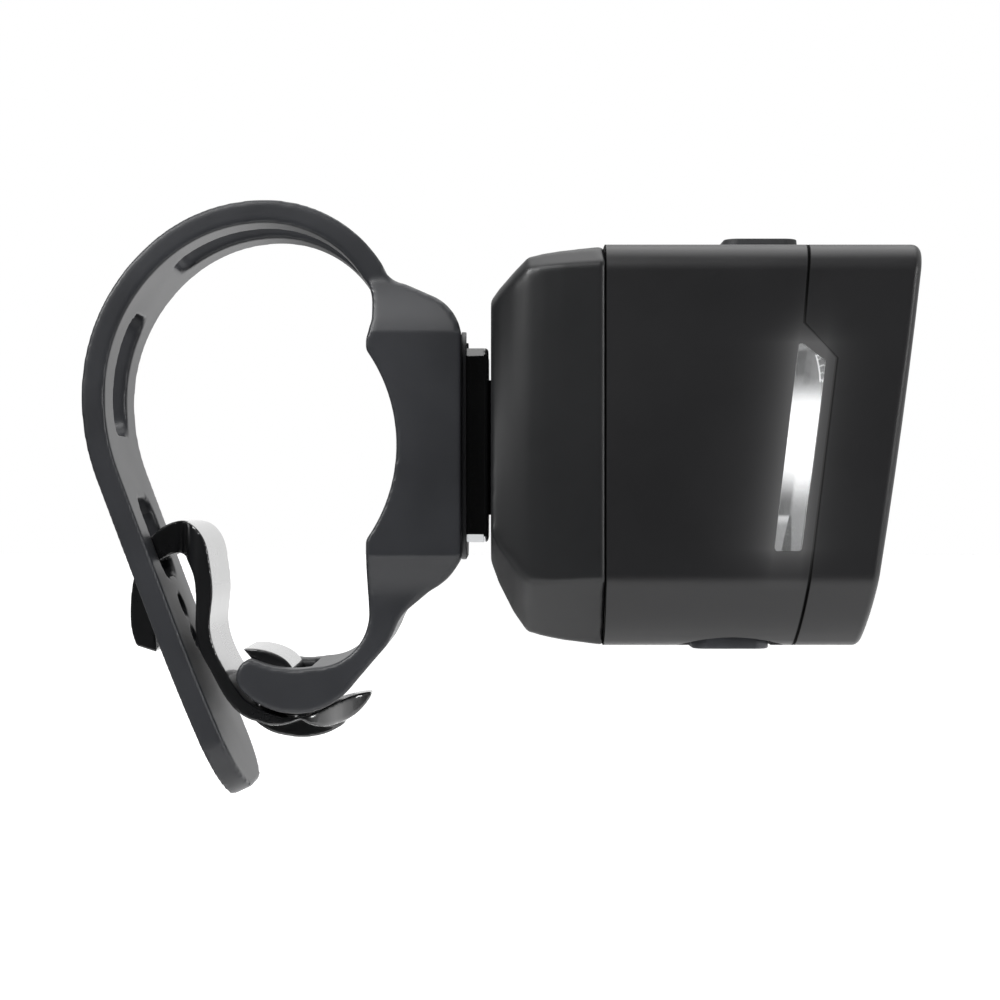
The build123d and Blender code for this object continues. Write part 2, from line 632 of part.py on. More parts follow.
def dock_foot():
    """T foot on the back of the light."""
    flange_back = TUB_BACK_X + TUB_FLOOR + FOOT_CLEAR
    flange_front = DOCK_FRONT_X - LIP_T - FOOT_CLEAR
    flange = block(
        (flange_back, flange_front), (-FOOT_HALF_Y, FOOT_HALF_Y),
        (CHANNEL_FOOT_Z + FOOT_CLEAR, FOOT_HALF_Z),
    )
    stem = block(
        (flange_front, HEAD_BACK_X), (-STEM_HALF_Y, STEM_HALF_Y), (STEM_FOOT_Z, STEM_TOP_Z)
    )
    spigot = block(
        (HEAD_BACK_X, HEAD_BACK_X + SPIGOT_DEPTH), (-SPIGOT_HALF_Y, SPIGOT_HALF_Y),
        (-SPIGOT_HALF_Z, SPIGOT_HALF_Z),
    )
    flange = chamfer(flange.edges().filter_by(Axis.Y).group_by(Axis.Z)[0], FOOT_CLEAR)
    foot = flange + stem + spigot
    foot -= block(
        (flange_back - OVER, flange_back + NIB_RISE), (-CATCH_HALF_Y - NIB_CLEAR,
                                                       CATCH_HALF_Y + NIB_CLEAR),
        (NIB_Z - NIB_LEN - NIB_CLEAR, NIB_Z + NIB_LEN + NIB_CLEAR),
    )
    end_x = HEAD_BACK_X + WALL - FOOT_SCREW_BITE - WALL
    for z in (-FOOT_SCREW_Z, FOOT_SCREW_Z):
        foot -= rod_x(end_x, HEAD_BACK_X + WALL, SCREW_R, 0, z)
    return foot


def foot_screws():
    length = WALL + FOOT_SCREW_BITE - SCREW_CLEAR
    return [
        screw(HEAD_BACK_X + WALL, length, 0, z, points_back=True)
        for z in (-FOOT_SCREW_Z, FOOT_SCREW_Z)
    ]


def head_face(inset=0):
    """Front view of the head: rounded on top, with a bowed bevel on each side of its floor."""
    fall, reach = CHINE_Z - HEAD_FOOT_Z, HEAD_HALF - FLOOR_HALF
    run = (fall ** 2 + reach ** 2) ** 0.5
    bow_y = (HEAD_HALF + FLOOR_HALF) / 2 + CHINE_BOW * fall / run
    bow_z = (CHINE_Z + HEAD_FOOT_Z) / 2 - CHINE_BOW * reach / run
    edges = [
        Line((-FLOOR_HALF, HEAD_FOOT_Z), (FLOOR_HALF, HEAD_FOOT_Z)),
        Line((-HEAD_HALF, HEAD_TOP_Z), (HEAD_HALF, HEAD_TOP_Z)),
    ]
    for way in (1, -1):
        edges += [
            Line((way * HEAD_HALF, CHINE_Z), (way * HEAD_HALF, HEAD_TOP_Z)),
            ThreePointArc((way * HEAD_HALF, CHINE_Z), (way * bow_y, bow_z),
                          (way * FLOOR_HALF, HEAD_FOOT_Z)),
        ]
    outline = make_face(edges)
    for height, radius in (
        (HEAD_TOP_Z, TOP_ROUND), (CHINE_Z, CHINE_ROUND), (HEAD_FOOT_Z, FLOOR_ROUND)
    ):
        corners = [v for v in outline.vertices() if abs(v.Y - height) < FIT]
        outline = fillet(corners, radius)
    return offset(outline, amount=-inset) if inset else outline


def head_tube(x_low, x_high, inset=0):
    return extrude(Plane.YZ.offset(x_low) * head_face(inset), amount=x_high - x_low)


def rear_row(x):
    """The rear shell's section sizes at x, between the rows of its table."""
    place = (x - HEAD_BACK_X) / (SEAM_X - HEAD_BACK_X)
    for low, high in zip(REAR_SHARES, REAR_SHARES[1:]):
        if place <= high[0] + FIT / SEAM_X:
            part = (place - low[0]) / (high[0] - low[0])
            return [a + (b - a) * part for a, b in zip(low[1:], high[1:])]


def rear_face(x, inset=0):
    """One faceted section of the rear shell at x."""
    units = (HEAD_HALF, HEAD_HALF, HEAD_TOP_Z, HEAD_FOOT_Z, HEAD_FOOT_Z, HEAD_HALF, EDGE_CUT)
    top_half, bevel_half, top, foot, bevel, floor_half, cut = [
        share * unit for share, unit in zip(rear_row(x), units)
    ]
    outline = polygon([
        (top_half, top - cut), (bevel_half, bevel), (floor_half, foot), (-floor_half, foot),
        (-bevel_half, bevel), (-top_half, top - cut), (-top_half + cut, top),
        (top_half - cut, top),
    ])
    if inset:
        outline = offset(outline, amount=-inset, kind=Kind.INTERSECTION)
    return Plane.YZ.offset(x) * outline


def rear_loft(inset, places):
    return loft([rear_face(x, inset) for x in places], ruled=True)


CASE_SCREWS = [
    (y, z) for y in (-CASE_SCREW_Y, CASE_SCREW_Y) for z in (CASE_SCREW_LOW_Z, CASE_SCREW_HIGH_Z)
]


def rear_housing():
    outside = [HEAD_BACK_X + row[0] * (SEAM_X - HEAD_BACK_X) for row in REAR_SHARES]
    shell = rear_loft(0, outside) - rear_loft(WALL, [HEAD_BACK_X + WALL, BREAK_X, SEAM_X])
    for y, z in CASE_SCREWS:
        shell += rod_x(HEAD_BACK_X + WALL / 2, SEAM_X, BOSS_R, y, z)
    for y, z in CASE_SCREWS:
        shell -= screw_hole(
            HEAD_BACK_X + CASE_SCREW_SINK, SEAM_X - HEAD_BACK_X, y, z, points_back=False
        )
    shell -= block(
        (HEAD_BACK_X - OVER, HEAD_BACK_X + SPIGOT_DEPTH),
        (-SPIGOT_HALF_Y, SPIGOT_HALF_Y), (-SPIGOT_HALF_Z, SPIGOT_HALF_Z),
    )
    for z in (-FOOT_SCREW_Z, FOOT_SCREW_Z):
        shell -= screw_hole(HEAD_BACK_X + WALL, WALL + OVER, 0, z)
    return shell


def housing_screws():
    return [
        screw(HEAD_BACK_X + CASE_SCREW_SINK, CASE_SCREW_LEN, y, z, points_back=False)
        for y, z in CASE_SCREWS
    ]


def body_gasket():
    """Seal in a groove at the rear seam."""
    ring = head_face(WALL / 2 - GASKET_W / 2) - head_face(WALL / 2 + GASKET_W / 2)
    return extrude(Plane.YZ.offset(SEAM_X) * ring, amount=GASKET_T)


def ahead_of_seam(shift=0):
    """Everything in front of the slanted seam."""
    low, high, far = HEAD_FOOT_Z - OVER, HEAD_TOP_Z + OVER, FACE_TOP_X + HEAD_HALF
    return side_prism(polygon([
        (SEAM_TOP_X + shift, high), (SEAM_STEP_X + shift, SEAM_STEP_Z),
        (SEAM_KNEE_X + shift, SEAM_KNEE_Z), (SEAM_FOOT_X + shift, low), (far, low), (far, high),
    ]), -HEAD_HALF - OVER, HEAD_HALF + OVER)


def bridge():
    """The core's top reaches past the seam here, to hold the button."""
    return block((SEAM_X, BRIDGE_X), (-BRIDGE_HALF, BRIDGE_HALF), (BRIDGE_FOOT_Z, HEAD_TOP_Z + OVER))


def window_outline(grow=0):
    """Side window, a slanted slit with a peaked top."""
    outline = polygon([
        (WINDOW_HEEL_X, WINDOW_FOOT_Z), (WINDOW_TOE_X, WINDOW_FOOT_Z),
        (WINDOW_SHOULDER_X, WINDOW_SHOULDER_Z), (WINDOW_PEAK_X, WINDOW_TOP_Z),
    ])
    outline = fillet(outline.vertices(), WINDOW_FLANGE / 2)
    return offset(outline, amount=grow) if grow else outline


def core_housing():
    wide = HEAD_HALF + OVER
    tube = head_tube(SEAM_X, BRIDGE_X + WALL) - head_tube(SEAM_X - OVER, BRIDGE_X + WALL + OVER, WALL)
    core = tube - ahead_of_seam()
    core += (tube & bridge())
    for y, z in CASE_SCREWS:
        boss = rod_x(SEAM_X, SEAM_X + CASE_SCREW_LEN / 2, BOSS_R, y, z)
        outward = HEAD_HALF - WALL / 2 if y > 0 else -HEAD_HALF + WALL / 2
        web = block(
            (SEAM_X, SEAM_X + CASE_SCREW_LEN / 2), tuple(sorted((y, outward))),
            (z - WALL / 2, z + WALL / 2),
        )
        core += boss + web
    core -= body_gasket()
    for y, z in CASE_SCREWS:
        core -= rod_x(SEAM_X - OVER, HEAD_BACK_X + CASE_SCREW_SINK + CASE_SCREW_LEN, SCREW_R, y, z)
    core -= side_prism(window_outline(FIT), -wide, wide)
    button = Pos(BUTTON_X, 0, HEAD_TOP_Z) * extrude(
        RectangleRounded(BUTTON_LEN + BUTTON_CLEAR * 2, (BUTTON_HALF + BUTTON_CLEAR) * 2,
                         BUTTON_CORNER), amount=WALL + OVER, both=True
    )
    core -= button
    core -= cover_pocket()
    core -= block(
        (port_x() - COVER_PLUG_X / 2 - PLUG_CLEAR, port_x() + COVER_PLUG_X / 2 + PLUG_CLEAR),
        (-COVER_PLUG_Y / 2 - PLUG_CLEAR, COVER_PLUG_Y / 2 + PLUG_CLEAR),
        (HEAD_FOOT_Z - OVER, HEAD_FOOT_Z + WALL + OVER),
    )
    return core


def port_x():
    return (COVER_BACK_X + COVER_FRONT_X) / 2


def cover_top_z():
    return HEAD_FOOT_Z - COVER_PROUD + COVER_T


def cover_pocket():
    """Recess in the floor for the flap, with a scoop for a finger at its near end."""
    far = COVER_HINGE_Y + COVER_T / 2 + COVER_CLEAR
    pocket = block(
        (COVER_BACK_X - COVER_CLEAR, COVER_FRONT_X + COVER_CLEAR),
        (COVER_NEAR_Y - COVER_CLEAR, far), (HEAD_FOOT_Z - OVER, cover_top_z()),
    )
    scoop = rod_y(-HEAD_HALF, -SCOOP_REACH, SCOOP_R, port_x(), cover_top_z() - SCOOP_R)
    return pocket + scoop


def port_cover():
    """Rubber flap with a plug, turning on a knuckle at its far end."""
    top, low = cover_top_z(), HEAD_FOOT_Z - COVER_PROUD
    flap = block((COVER_BACK_X, COVER_FRONT_X), (COVER_NEAR_Y, COVER_HINGE_Y), (low, top))
    corners = [e for e in flap.edges().filter_by(Axis.Z) if e.center().Y < 0]
    flap = fillet(corners, COVER_CORNER)
    middle_z = (top + low) / 2
    flap += rod_x(COVER_BACK_X, COVER_FRONT_X, COVER_T / 2, COVER_HINGE_Y, middle_z)
    plug = block(
        (port_x() - COVER_PLUG_X / 2, port_x() + COVER_PLUG_X / 2),
        (-COVER_PLUG_Y / 2, COVER_PLUG_Y / 2), (top, top + COVER_PLUG_H),
    )
    return flap + fillet(plug.edges().filter_by(Axis.Z), COVER_PLUG_X / 3)


def usb_port():
    """Upright charging port: a shell with its tongue."""
    low = HEAD_FOOT_Z + WALL + PORT_GAP
    x = port_x()
    shell = block((x - PORT_T / 2, x + PORT_T / 2), (-PORT_W / 2, PORT_W / 2), (low, low + PORT_H))
    shell = fillet(shell.edges().filter_by(Axis.Z), PORT_T / 3)
    mouth = block(
        (x - PORT_MOUTH_T / 2, x + PORT_MOUTH_T / 2), (-PORT_MOUTH_W / 2, PORT_MOUTH_W / 2),
        (low - OVER, low + PORT_MOUTH_DEEP),
    )
    mouth = fillet(mouth.edges().filter_by(Axis.Z), PORT_MOUTH_T / 3)
    tongue = block(
        (x - PORT_TONGUE_T / 2, x + PORT_TONGUE_T / 2), (-PORT_TONGUE_W / 2, PORT_TONGUE_W / 2),
        (low + PORT_TONGUE_T, low + PORT_H),
    )
    return shell - mouth + tongue


def front_region(sink):
    """Everything behind the bowed front face, moved back by sink."""
    low, high = HEAD_FOOT_Z - OVER, HEAD_TOP_Z + OVER
    face = ThreePointArc(
        (FACE_FOOT_X - sink, low), (FACE_MID_X - sink, FACE_MID_Z), (FACE_TOP_X - sink, high)
    )
    back = Polyline((FACE_TOP_X - sink, high), (SEAM_X, high), (SEAM_X, low),
                    (FACE_FOOT_X - sink, low))
    return side_prism(make_face([face, back]), -HEAD_HALF - OVER, HEAD_HALF + OVER)


def front_bezel():
    tube = head_tube(SEAM_FOOT_X - OVER, FACE_TOP_X + OVER)
    blank = tube & ahead_of_seam() & front_region(0)
    face_edges = [
        e for e in blank.edges()
        if e.center().X > FACE_FOOT_X - OVER and e not in blank.edges().filter_by(Axis.X)
        and e.bounding_box().min.X > FACE_FOOT_X - OVER / 2
    ]
    blank = fillet(face_edges, FACE_ROUND)
    pocket = head_tube(SEAM_FOOT_X - OVER * 2, FACE_TOP_X + OVER * 2, RIM)
    behind = front_region(LENS_SINK + LENS_T + LENS_GASKET_T)
    bore = head_tube(SEAM_FOOT_X - OVER * 2, FACE_TOP_X + OVER * 2, RIM + LEDGE)
    bezel = blank - (pocket - behind) - bore
    inside = head_tube(SEAM_FOOT_X - OVER * 2, FACE_TOP_X, WALL)
    back_shift = front_region(LENS_SINK + LENS_T + LENS_GASKET_T + LEDGE)
    bezel -= inside & back_shift
    return bezel - bridge()


def front_lens():
    rim = RIM + LENS_CLEAR
    plate = head_tube(SEAM_FOOT_X, FACE_TOP_X + OVER, rim)
    return (plate & front_region(LENS_SINK)) - front_region(LENS_SINK + LENS_T)


def lens_gasket():
    ring = head_tube(SEAM_FOOT_X, FACE_TOP_X + OVER, RIM + LENS_CLEAR)
    ring -= head_tube(SEAM_FOOT_X - OVER, FACE_TOP_X + OVER * 2, RIM + LEDGE)
    return (ring & front_region(LENS_SINK + LENS_T)) - front_region(
        LENS_SINK + LENS_T + LENS_GASKET_T
    )


def side_window(way):
    """Clear window, nearly flush outside, with a flange against the wall's inner face."""
    outer = HEAD_HALF - WINDOW_SINK
    inner = HEAD_HALF - WALL
    pane = side_prism(window_outline(), *sorted((way * inner, way * outer)))
    flange = side_prism(
        window_outline(WINDOW_FLANGE), *sorted((way * (inner - WINDOW_FLANGE_T), way * inner))
    )
    return pane + flange


def power_button():
    """Button cap with slanted ends, a hidden flange and a post over the switch."""
    base = RectangleRounded(BUTTON_LEN, BUTTON_HALF * 2, BUTTON_CORNER)
    top = Pos(BUTTON_DRAFT / 3, 0) * RectangleRounded(
        BUTTON_LEN - BUTTON_DRAFT, BUTTON_HALF * 2 - BUTTON_DRAFT, BUTTON_CORNER - BUTTON_DRAFT / 2
    )
    wall_z = HEAD_TOP_Z - WALL
    at = Pos(BUTTON_X, 0, 0)
    neck = at * Pos(0, 0, wall_z) * extrude(base, amount=WALL)
    cap = at * loft([Pos(0, 0, HEAD_TOP_Z) * base, Pos(0, 0, HEAD_TOP_Z + BUTTON_RISE) * top])
    flange = at * Pos(0, 0, wall_z - BUTTON_FLANGE_T) * extrude(
        RectangleRounded(BUTTON_LEN + BUTTON_FLANGE * 2, (BUTTON_HALF + BUTTON_FLANGE) * 2,
                         BUTTON_CORNER), amount=BUTTON_FLANGE_T
    )
    low = wall_z - BUTTON_FLANGE_T
    post_foot = SWITCH_TOP_Z + PLUNGER_H + BUTTON_TRAVEL + POST_GAP
    post = rod_z(post_foot, low, BUTTON_POST_R, BUTTON_X, 0)
    return neck + cap + flange + post


def control_board():
    x = port_x()
    board = block(
        (x - BOARD_T / 2, x + BOARD_T / 2), (-BOARD_HALF, BOARD_HALF), (BOARD_FOOT_Z, BOARD_TOP_Z)
    )
    notch_half = PORT_W / 2 + PORT_GAP
    return board - block(
        (x - OVER, x + OVER), (-notch_half, notch_half),
        (BOARD_FOOT_Z - OVER, HEAD_FOOT_Z + WALL + PORT_GAP + PORT_H),
    )


def button_switch():
    x = port_x() + BOARD_T / 2
    body = block(
        (x, x + SWITCH_T), (-SWITCH_HALF, SWITCH_HALF), (SWITCH_TOP_Z - SWITCH_H, SWITCH_TOP_Z)
    )
    return body + rod_z(SWITCH_TOP_Z, SWITCH_TOP_Z + PLUNGER_H, PLUNGER_R, BUTTON_X, 0)


def heat_sink():
    """Plate fitted in the shell behind the emitters, with upright fins towards the board."""
    plate = head_tube(SINK_X, SINK_X + SINK_T, WALL + FIT)
    plate &= block(
        (SINK_X, SINK_X + SINK_T), (-HEAD_HALF, HEAD_HALF), (HEAD_FOOT_Z, SINK_TOP_Z)
    )
    for way in (-1, 1):
        side = sorted((way * HEAD_HALF, way * (HEAD_HALF - WALL - SINK_RELIEF)))
        plate -= block(
            (SINK_X - OVER, SINK_X + SINK_T + OVER), side,
            (WINDOW_FOOT_Z - SINK_RELIEF, WINDOW_TOP_Z + SINK_RELIEF),
        )
    for index in range(FIN_COUNT):
        y = (index - (FIN_COUNT - 1) / 2) * FIN_PITCH
        plate += block(
            (SINK_X - FIN_DEEP, SINK_X), (y - FIN_T / 2, y + FIN_T / 2),
            (FIN_FOOT_Z, FIN_TOP_Z),
        )
    return plate


def led_x():
    return SINK_X + SINK_T


def led_board():
    x = led_x()
    return block(
        (x, x + LED_BOARD_T), (-LED_BOARD_HALF, LED_BOARD_HALF),
        (-LED_BOARD_HALF_Z, LED_BOARD_HALF_Z),
    )


def led_emitters():
    x = led_x() + LED_BOARD_T
    chips = []
    for y in (-LED_Y, LED_Y):
        chip = block(
            (x, x + LED_T), (y - LED_SIDE / 2, y + LED_SIDE / 2), (-LED_SIDE / 2, LED_SIDE / 2)
        )
        dome = Pos(x + LED_T, y, 0) * Sphere(DOME_R)
        chips.append(chip + (dome - block(
            (x - DOME_R * 2, x + LED_T), (y - DOME_R, y + DOME_R), (-DOME_R, DOME_R)
        )))
    return chips


def beam_optic():
    """Two moulded collimators joined by a web that stands on four legs."""
    x = led_x() + LED_BOARD_T
    base = x + LED_T + DOME_R + FIT
    front = base + OPTIC_DEEP
    optic = block(
        (front - OPTIC_WEB_T, front), (-LED_Y - OPTIC_R, LED_Y + OPTIC_R),
        (-OPTIC_WEB_HALF_Z, OPTIC_WEB_HALF_Z),
    )
    optic = fillet(optic.edges().filter_by(Axis.X), OPTIC_R / 4)
    for y in (-LED_Y, LED_Y):
        cone = Pos((base + front) / 2, y, 0) * Rot(0, 90, 0)
        optic += cone * Cone(OPTIC_THROAT_R, OPTIC_R, OPTIC_DEEP)
    for y in (-OPTIC_LEG_Y, OPTIC_LEG_Y):
        for z in (-OPTIC_LEG_Z, OPTIC_LEG_Z):
            optic += rod_x(x, front - OPTIC_WEB_T, OPTIC_LEG_R, y, z)
    return optic


def side_boards():
    x = led_x() + LED_BOARD_T
    return [
        block(
            (x, x + SIDE_BOARD_LEN),
            tuple(sorted((way * SIDE_BOARD_Y, way * (SIDE_BOARD_Y + SIDE_BOARD_T)))),
            (-SIDE_BOARD_HALF_Z, SIDE_BOARD_HALF_Z),
        ) for way in (-1, 1)
    ]


def side_leds():
    x = led_x() + LED_BOARD_T + SIDE_BOARD_LEN / 2
    y = SIDE_BOARD_Y + SIDE_BOARD_T
    return [
        block(
            (x - SIDE_LED_SIDE / 2, x + SIDE_LED_SIDE / 2),
            tuple(sorted((way * y, way * (y + SIDE_LED_T)))),
            (step * SIDE_LED_PITCH - SIDE_LED_SIDE / 2, step * SIDE_LED_PITCH + SIDE_LED_SIDE / 2),
        ) for way in (-1, 1) for step in (-1, 0, 1)
    ]


def battery_foam():
    """Pad between the rear wall and the battery, clear of the foot's screw heads."""
    x = HEAD_BACK_X + WALL
    pad = block((x, PACK_X), (-FOAM_HALF_Y, FOAM_HALF_Y), (-FOAM_HALF_Z, FOAM_HALF_Z))
    for z in (-FOOT_SCREW_Z, FOOT_SCREW_Z):
        pad -= rod_x(x - OVER, PACK_X + OVER, SCREW_HEAD_R + SCREW_CLEAR, 0, z)
    return pad


def battery_pack():
    pack = block(
        (PACK_X, PACK_X + PACK_T), (-PACK_HALF_Y, PACK_HALF_Y), (-PACK_HALF_Z, PACK_HALF_Z)
    )
    return fillet(pack.edges().filter_by(Axis.Y) + pack.edges().filter_by(Axis.Z), PACK_ROUND)


def battery_leads():
    """Two short leads from the pack to the control board."""
    back, front = PACK_X + PACK_T, port_x() - BOARD_T / 2
    bend = (front - back) / 3
    leads = []
    for y in (-LEAD_Y, -LEAD_Y + LEAD_PITCH):
        path = FilletPolyline(
            (back, y, LEAD_Z), (back + bend, y, LEAD_Z), (front - bend, y, LEAD_Z - LEAD_RISE),
            (front, y, LEAD_Z - LEAD_RISE), radius=bend / 2,
        )
        leads.append(sweep(Plane(path @ 0, z_dir=path % 0) * Circle(LEAD_R), path=path))
    return leads


def strap_hook():
    """S hook: tip through the strap's slot, barb in the arm's eye, thumb tab below."""
    pivot = (PIVOT_X, PIVOT_Z)
    back = Spline(*scaled(HOOK_BACK_SHARES, HOOK_RISE, pivot))
    mouth = Spline(*scaled(HOOK_MOUTH_SHARES, HOOK_RISE, pivot))
    lobe = Spline(*scaled(LOBE_SHARES, HOOK_RISE, pivot))
    tab = Spline(*scaled(TAB_SHARES, HOOK_RISE, pivot))
    end = Line(back @ 1, mouth @ 0)
    hook = side_prism(make_face([back, end, mouth, lobe, tab]), -HOOK_HALF, HOOK_HALF)
    neck, full = HOOK_NECK_HALF, HOOK_HALF
    near, far = PIVOT_X + HOOK_RISE, PIVOT_X - HOOK_RISE
    middle = (HOOK_NECK_X + HOOK_SHOULDER_X) / 2
    edges = []
    for way in (1, -1):
        edges += [
            Line((far, way * neck), (HOOK_NECK_X, way * neck)),
            Spline((HOOK_NECK_X, way * neck), (middle, way * (neck + full) / 2),
                   (HOOK_SHOULDER_X, way * full), tangents=[(1, 0), (1, 0)]),
            Line((HOOK_SHOULDER_X, way * full), (TAB_ROOT_X, way * full)),
            Spline((TAB_ROOT_X, way * full), (TAB_WAIST_X, way * TAB_WAIST_HALF),
                   (near, way * TAB_HALF / 2), tangents=[(1, 0), (1, 0)]),
        ]
    edges += [
        Line((far, -neck), (far, neck)), Line((near, -TAB_HALF / 2), (near, TAB_HALF / 2)),
    ]
    plan = extrude(Pos(0, 0, PIVOT_Z - HOOK_RISE) * make_face(edges), amount=HOOK_RISE * 3)
    hook = hook & plan
    keel_points = scaled(KEEL_SHARES, HOOK_RISE, pivot)
    keel_line = Spline(*keel_points)
    hook += side_prism(
        make_face([keel_line, Line(keel_line @ 1, keel_line @ 0)]), -KEEL_HALF, KEEL_HALF
    )
    barb_points = scaled(BARB_SHARES, HOOK_RISE, pivot)
    barb_line = Spline(*barb_points)
    right = PIVOT_X + BARREL_R
    left = PIVOT_X - BARREL_R
    barb = make_face([
        barb_line,
        Polyline(barb_line @ 1, (right, PIVOT_Z), (right, PIVOT_Z - BARREL_R * 1.6),
                 (left, PIVOT_Z - BARREL_R * 1.6), (left, PIVOT_Z + BARREL_R),
                 barb_line @ 0),
    ])
    hook += side_prism(barb, -BARB_HALF, BARB_HALF)
    end_y = BARB_HALF + TRUNNION_LEN
    return hook + rod_y(-end_y, end_y, TRUNNION_R, PIVOT_X, PIVOT_Z)


PIECES = {
    "rubber_strap": rubber_strap,
    "base_plate": base_plate,
    "dock_receiver": dock_receiver,
    "dock_screws": dock_screws,
    "release_catch": release_catch,
    "strap_hook": strap_hook,
    "dock_foot": dock_foot,
    "foot_screws": foot_screws,
    "rear_housing": rear_housing,
    "housing_screws": housing_screws,
    "body_gasket": body_gasket,
    "core_housing": core_housing,
    "front_bezel": front_bezel,
    "front_lens": front_lens,
    "lens_gasket": lens_gasket,
    "side_window_left": lambda: side_window(1),
    "side_window_right": lambda: side_window(-1),
    "power_button": power_button,
    "button_switch": button_switch,
    "control_board": control_board,
    "usb_port": usb_port,
    "port_cover": port_cover,
    "heat_sink": heat_sink,
    "led_board": led_board,
    "led_emitters": led_emitters,
    "beam_optic": beam_optic,
    "side_boards": side_boards,
    "side_leds": side_leds,
    "battery_pack": battery_pack,
    "battery_foam": battery_foam,
    "battery_leads": battery_leads,
}

os.makedirs("parts", exist_ok=True)
for name, make in PIECES.items():
    made = make()
    if isinstance(made, list):
        made = Compound(children=[solid for piece in made for solid in piece.solids()])
    export_step(made, f"parts/{name}.step")
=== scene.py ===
"""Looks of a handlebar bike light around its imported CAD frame, laid out as a Blender add-on."""

import json
import math

import bmesh
import bpy
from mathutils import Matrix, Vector


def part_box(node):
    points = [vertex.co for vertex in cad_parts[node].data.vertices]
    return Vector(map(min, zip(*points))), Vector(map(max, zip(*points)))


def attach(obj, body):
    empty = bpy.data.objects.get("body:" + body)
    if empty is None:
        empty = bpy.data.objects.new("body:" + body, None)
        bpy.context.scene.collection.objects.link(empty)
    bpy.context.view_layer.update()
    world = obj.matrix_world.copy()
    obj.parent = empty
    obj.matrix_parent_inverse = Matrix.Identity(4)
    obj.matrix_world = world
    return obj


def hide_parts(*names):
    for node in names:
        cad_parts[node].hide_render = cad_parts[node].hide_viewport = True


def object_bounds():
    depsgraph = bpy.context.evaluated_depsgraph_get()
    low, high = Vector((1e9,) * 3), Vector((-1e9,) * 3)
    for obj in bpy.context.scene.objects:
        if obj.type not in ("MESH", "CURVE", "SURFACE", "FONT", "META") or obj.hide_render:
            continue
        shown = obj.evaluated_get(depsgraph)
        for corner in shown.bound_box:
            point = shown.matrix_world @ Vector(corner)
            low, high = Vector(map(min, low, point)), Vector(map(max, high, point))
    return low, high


bl_info = {
    "name": "Handlebar light",
    "version": (1, 0, 0),
    "blender": (4, 5, 0),
    "location": "3D View > Sidebar > Bike light",
    "description": "Strap, hook, dock, shells, windows and lamp of a handlebar bike light",
    "category": "Object",
}

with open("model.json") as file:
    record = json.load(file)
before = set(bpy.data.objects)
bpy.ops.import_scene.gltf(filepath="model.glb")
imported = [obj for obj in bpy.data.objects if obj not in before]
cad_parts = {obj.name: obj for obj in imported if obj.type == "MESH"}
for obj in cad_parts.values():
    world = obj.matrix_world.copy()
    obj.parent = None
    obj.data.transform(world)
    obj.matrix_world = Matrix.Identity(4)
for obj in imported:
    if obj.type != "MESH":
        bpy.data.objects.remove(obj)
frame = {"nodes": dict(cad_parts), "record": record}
CAD_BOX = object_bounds()
MM = 0.001


def box_of(node):
    """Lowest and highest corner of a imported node, in millimetres."""
    return [Vector(corner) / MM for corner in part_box(node)]


# Head of the light in millimetres: its rear seam, its front seam with a step from a knee at the
# front up to the rear, and the tongue of the middle shell that carries the button past that seam
CORE_LOW, CORE_HIGH = box_of("core_housing")
HEAD_HALF = CORE_HIGH.y
REAR_SEAM_X = CORE_LOW.x
SEAM_KNEE_X, SEAM_KNEE_Z = CORE_HIGH.x, 8.7
SEAM_STEP_X, SEAM_STEP_Z = SEAM_KNEE_X - 3.35, 12.3
SEAM_STEP_LEAN = (SEAM_STEP_X - SEAM_KNEE_X) / (SEAM_STEP_Z - SEAM_KNEE_Z)
SEAM_HIGH_LEAN, SEAM_LOW_LEAN = 0.0801, 0.123
TONGUE_HALF, TONGUE_Z = 9.7, CORE_HIGH.z - 0.32

# Side windows in millimetres: rear lower corner, lean, and middle counted from the rear edge
WINDOW_HEEL_X, WINDOW_HEEL_Z = SEAM_KNEE_X - 6.43, box_of("side_window_left")[0].z + 0.7
WINDOW_LEAN = 0.1194
WINDOW_MIDDLE = 1.45

# Softened pieces: mesh size in millimetres, rounds of easing, and how far the skin moves out then
HOOK_SOFT = (0.16, 8, -0.02)
REAR_SOFT = (0.29, 2, 0.05)
STRAP_REGAIN = 0.03


class Wire:
    """A shader value that sums can be written on; each sum adds its Math node."""

    def __init__(self, board, socket):
        self.board, self.socket = board, socket

    def _maths(self, how, other=0.0, swapped=False):
        pair = (other, self) if swapped else (self, other)
        return self.board.node("ShaderNodeMath", {"operation": how}, dict(enumerate(pair)))

    def __add__(self, other):
        return self._maths("ADD", other)

    __radd__ = __add__

    def __sub__(self, other):
        return self._maths("SUBTRACT", other)

    def __rsub__(self, other):
        return self._maths("SUBTRACT", other, swapped=True)

    def __mul__(self, other):
        return self._maths("MULTIPLY", other)

    __rmul__ = __mul__

    def __abs__(self):
        return self._maths("ABSOLUTE")

    def __mod__(self, other):
        return self._maths("FLOORED_MODULO", other)

    def power(self, other):
        """This value to a power."""
        return self._maths("POWER", other)

    def power_of(self, base):
        """A base to the power of this value."""
        return self._maths("POWER", base, swapped=True)

    def low(self, other):
        """The lower of two."""
        return self._maths("MINIMUM", other)

    def high(self, other):
        """The higher of two."""
        return self._maths("MAXIMUM", other)

    def step(self, start, end):
        """0 before start, 1 past end and smooth between; start may be the larger."""
        values = {"Value": self, "From Min": min(start, end), "From Max": max(start, end)}
        rise = self.board.node(
            "ShaderNodeMapRange", {"interpolation_type": "SMOOTHSTEP"}, values, "Result"
        )
        return rise if start <= end else 1.0 - rise

    def within(self, low, high, soft):
        """1 between low and high, fading over soft outside them."""
        return self.step(low - soft, low) * self.step(high + soft, high)


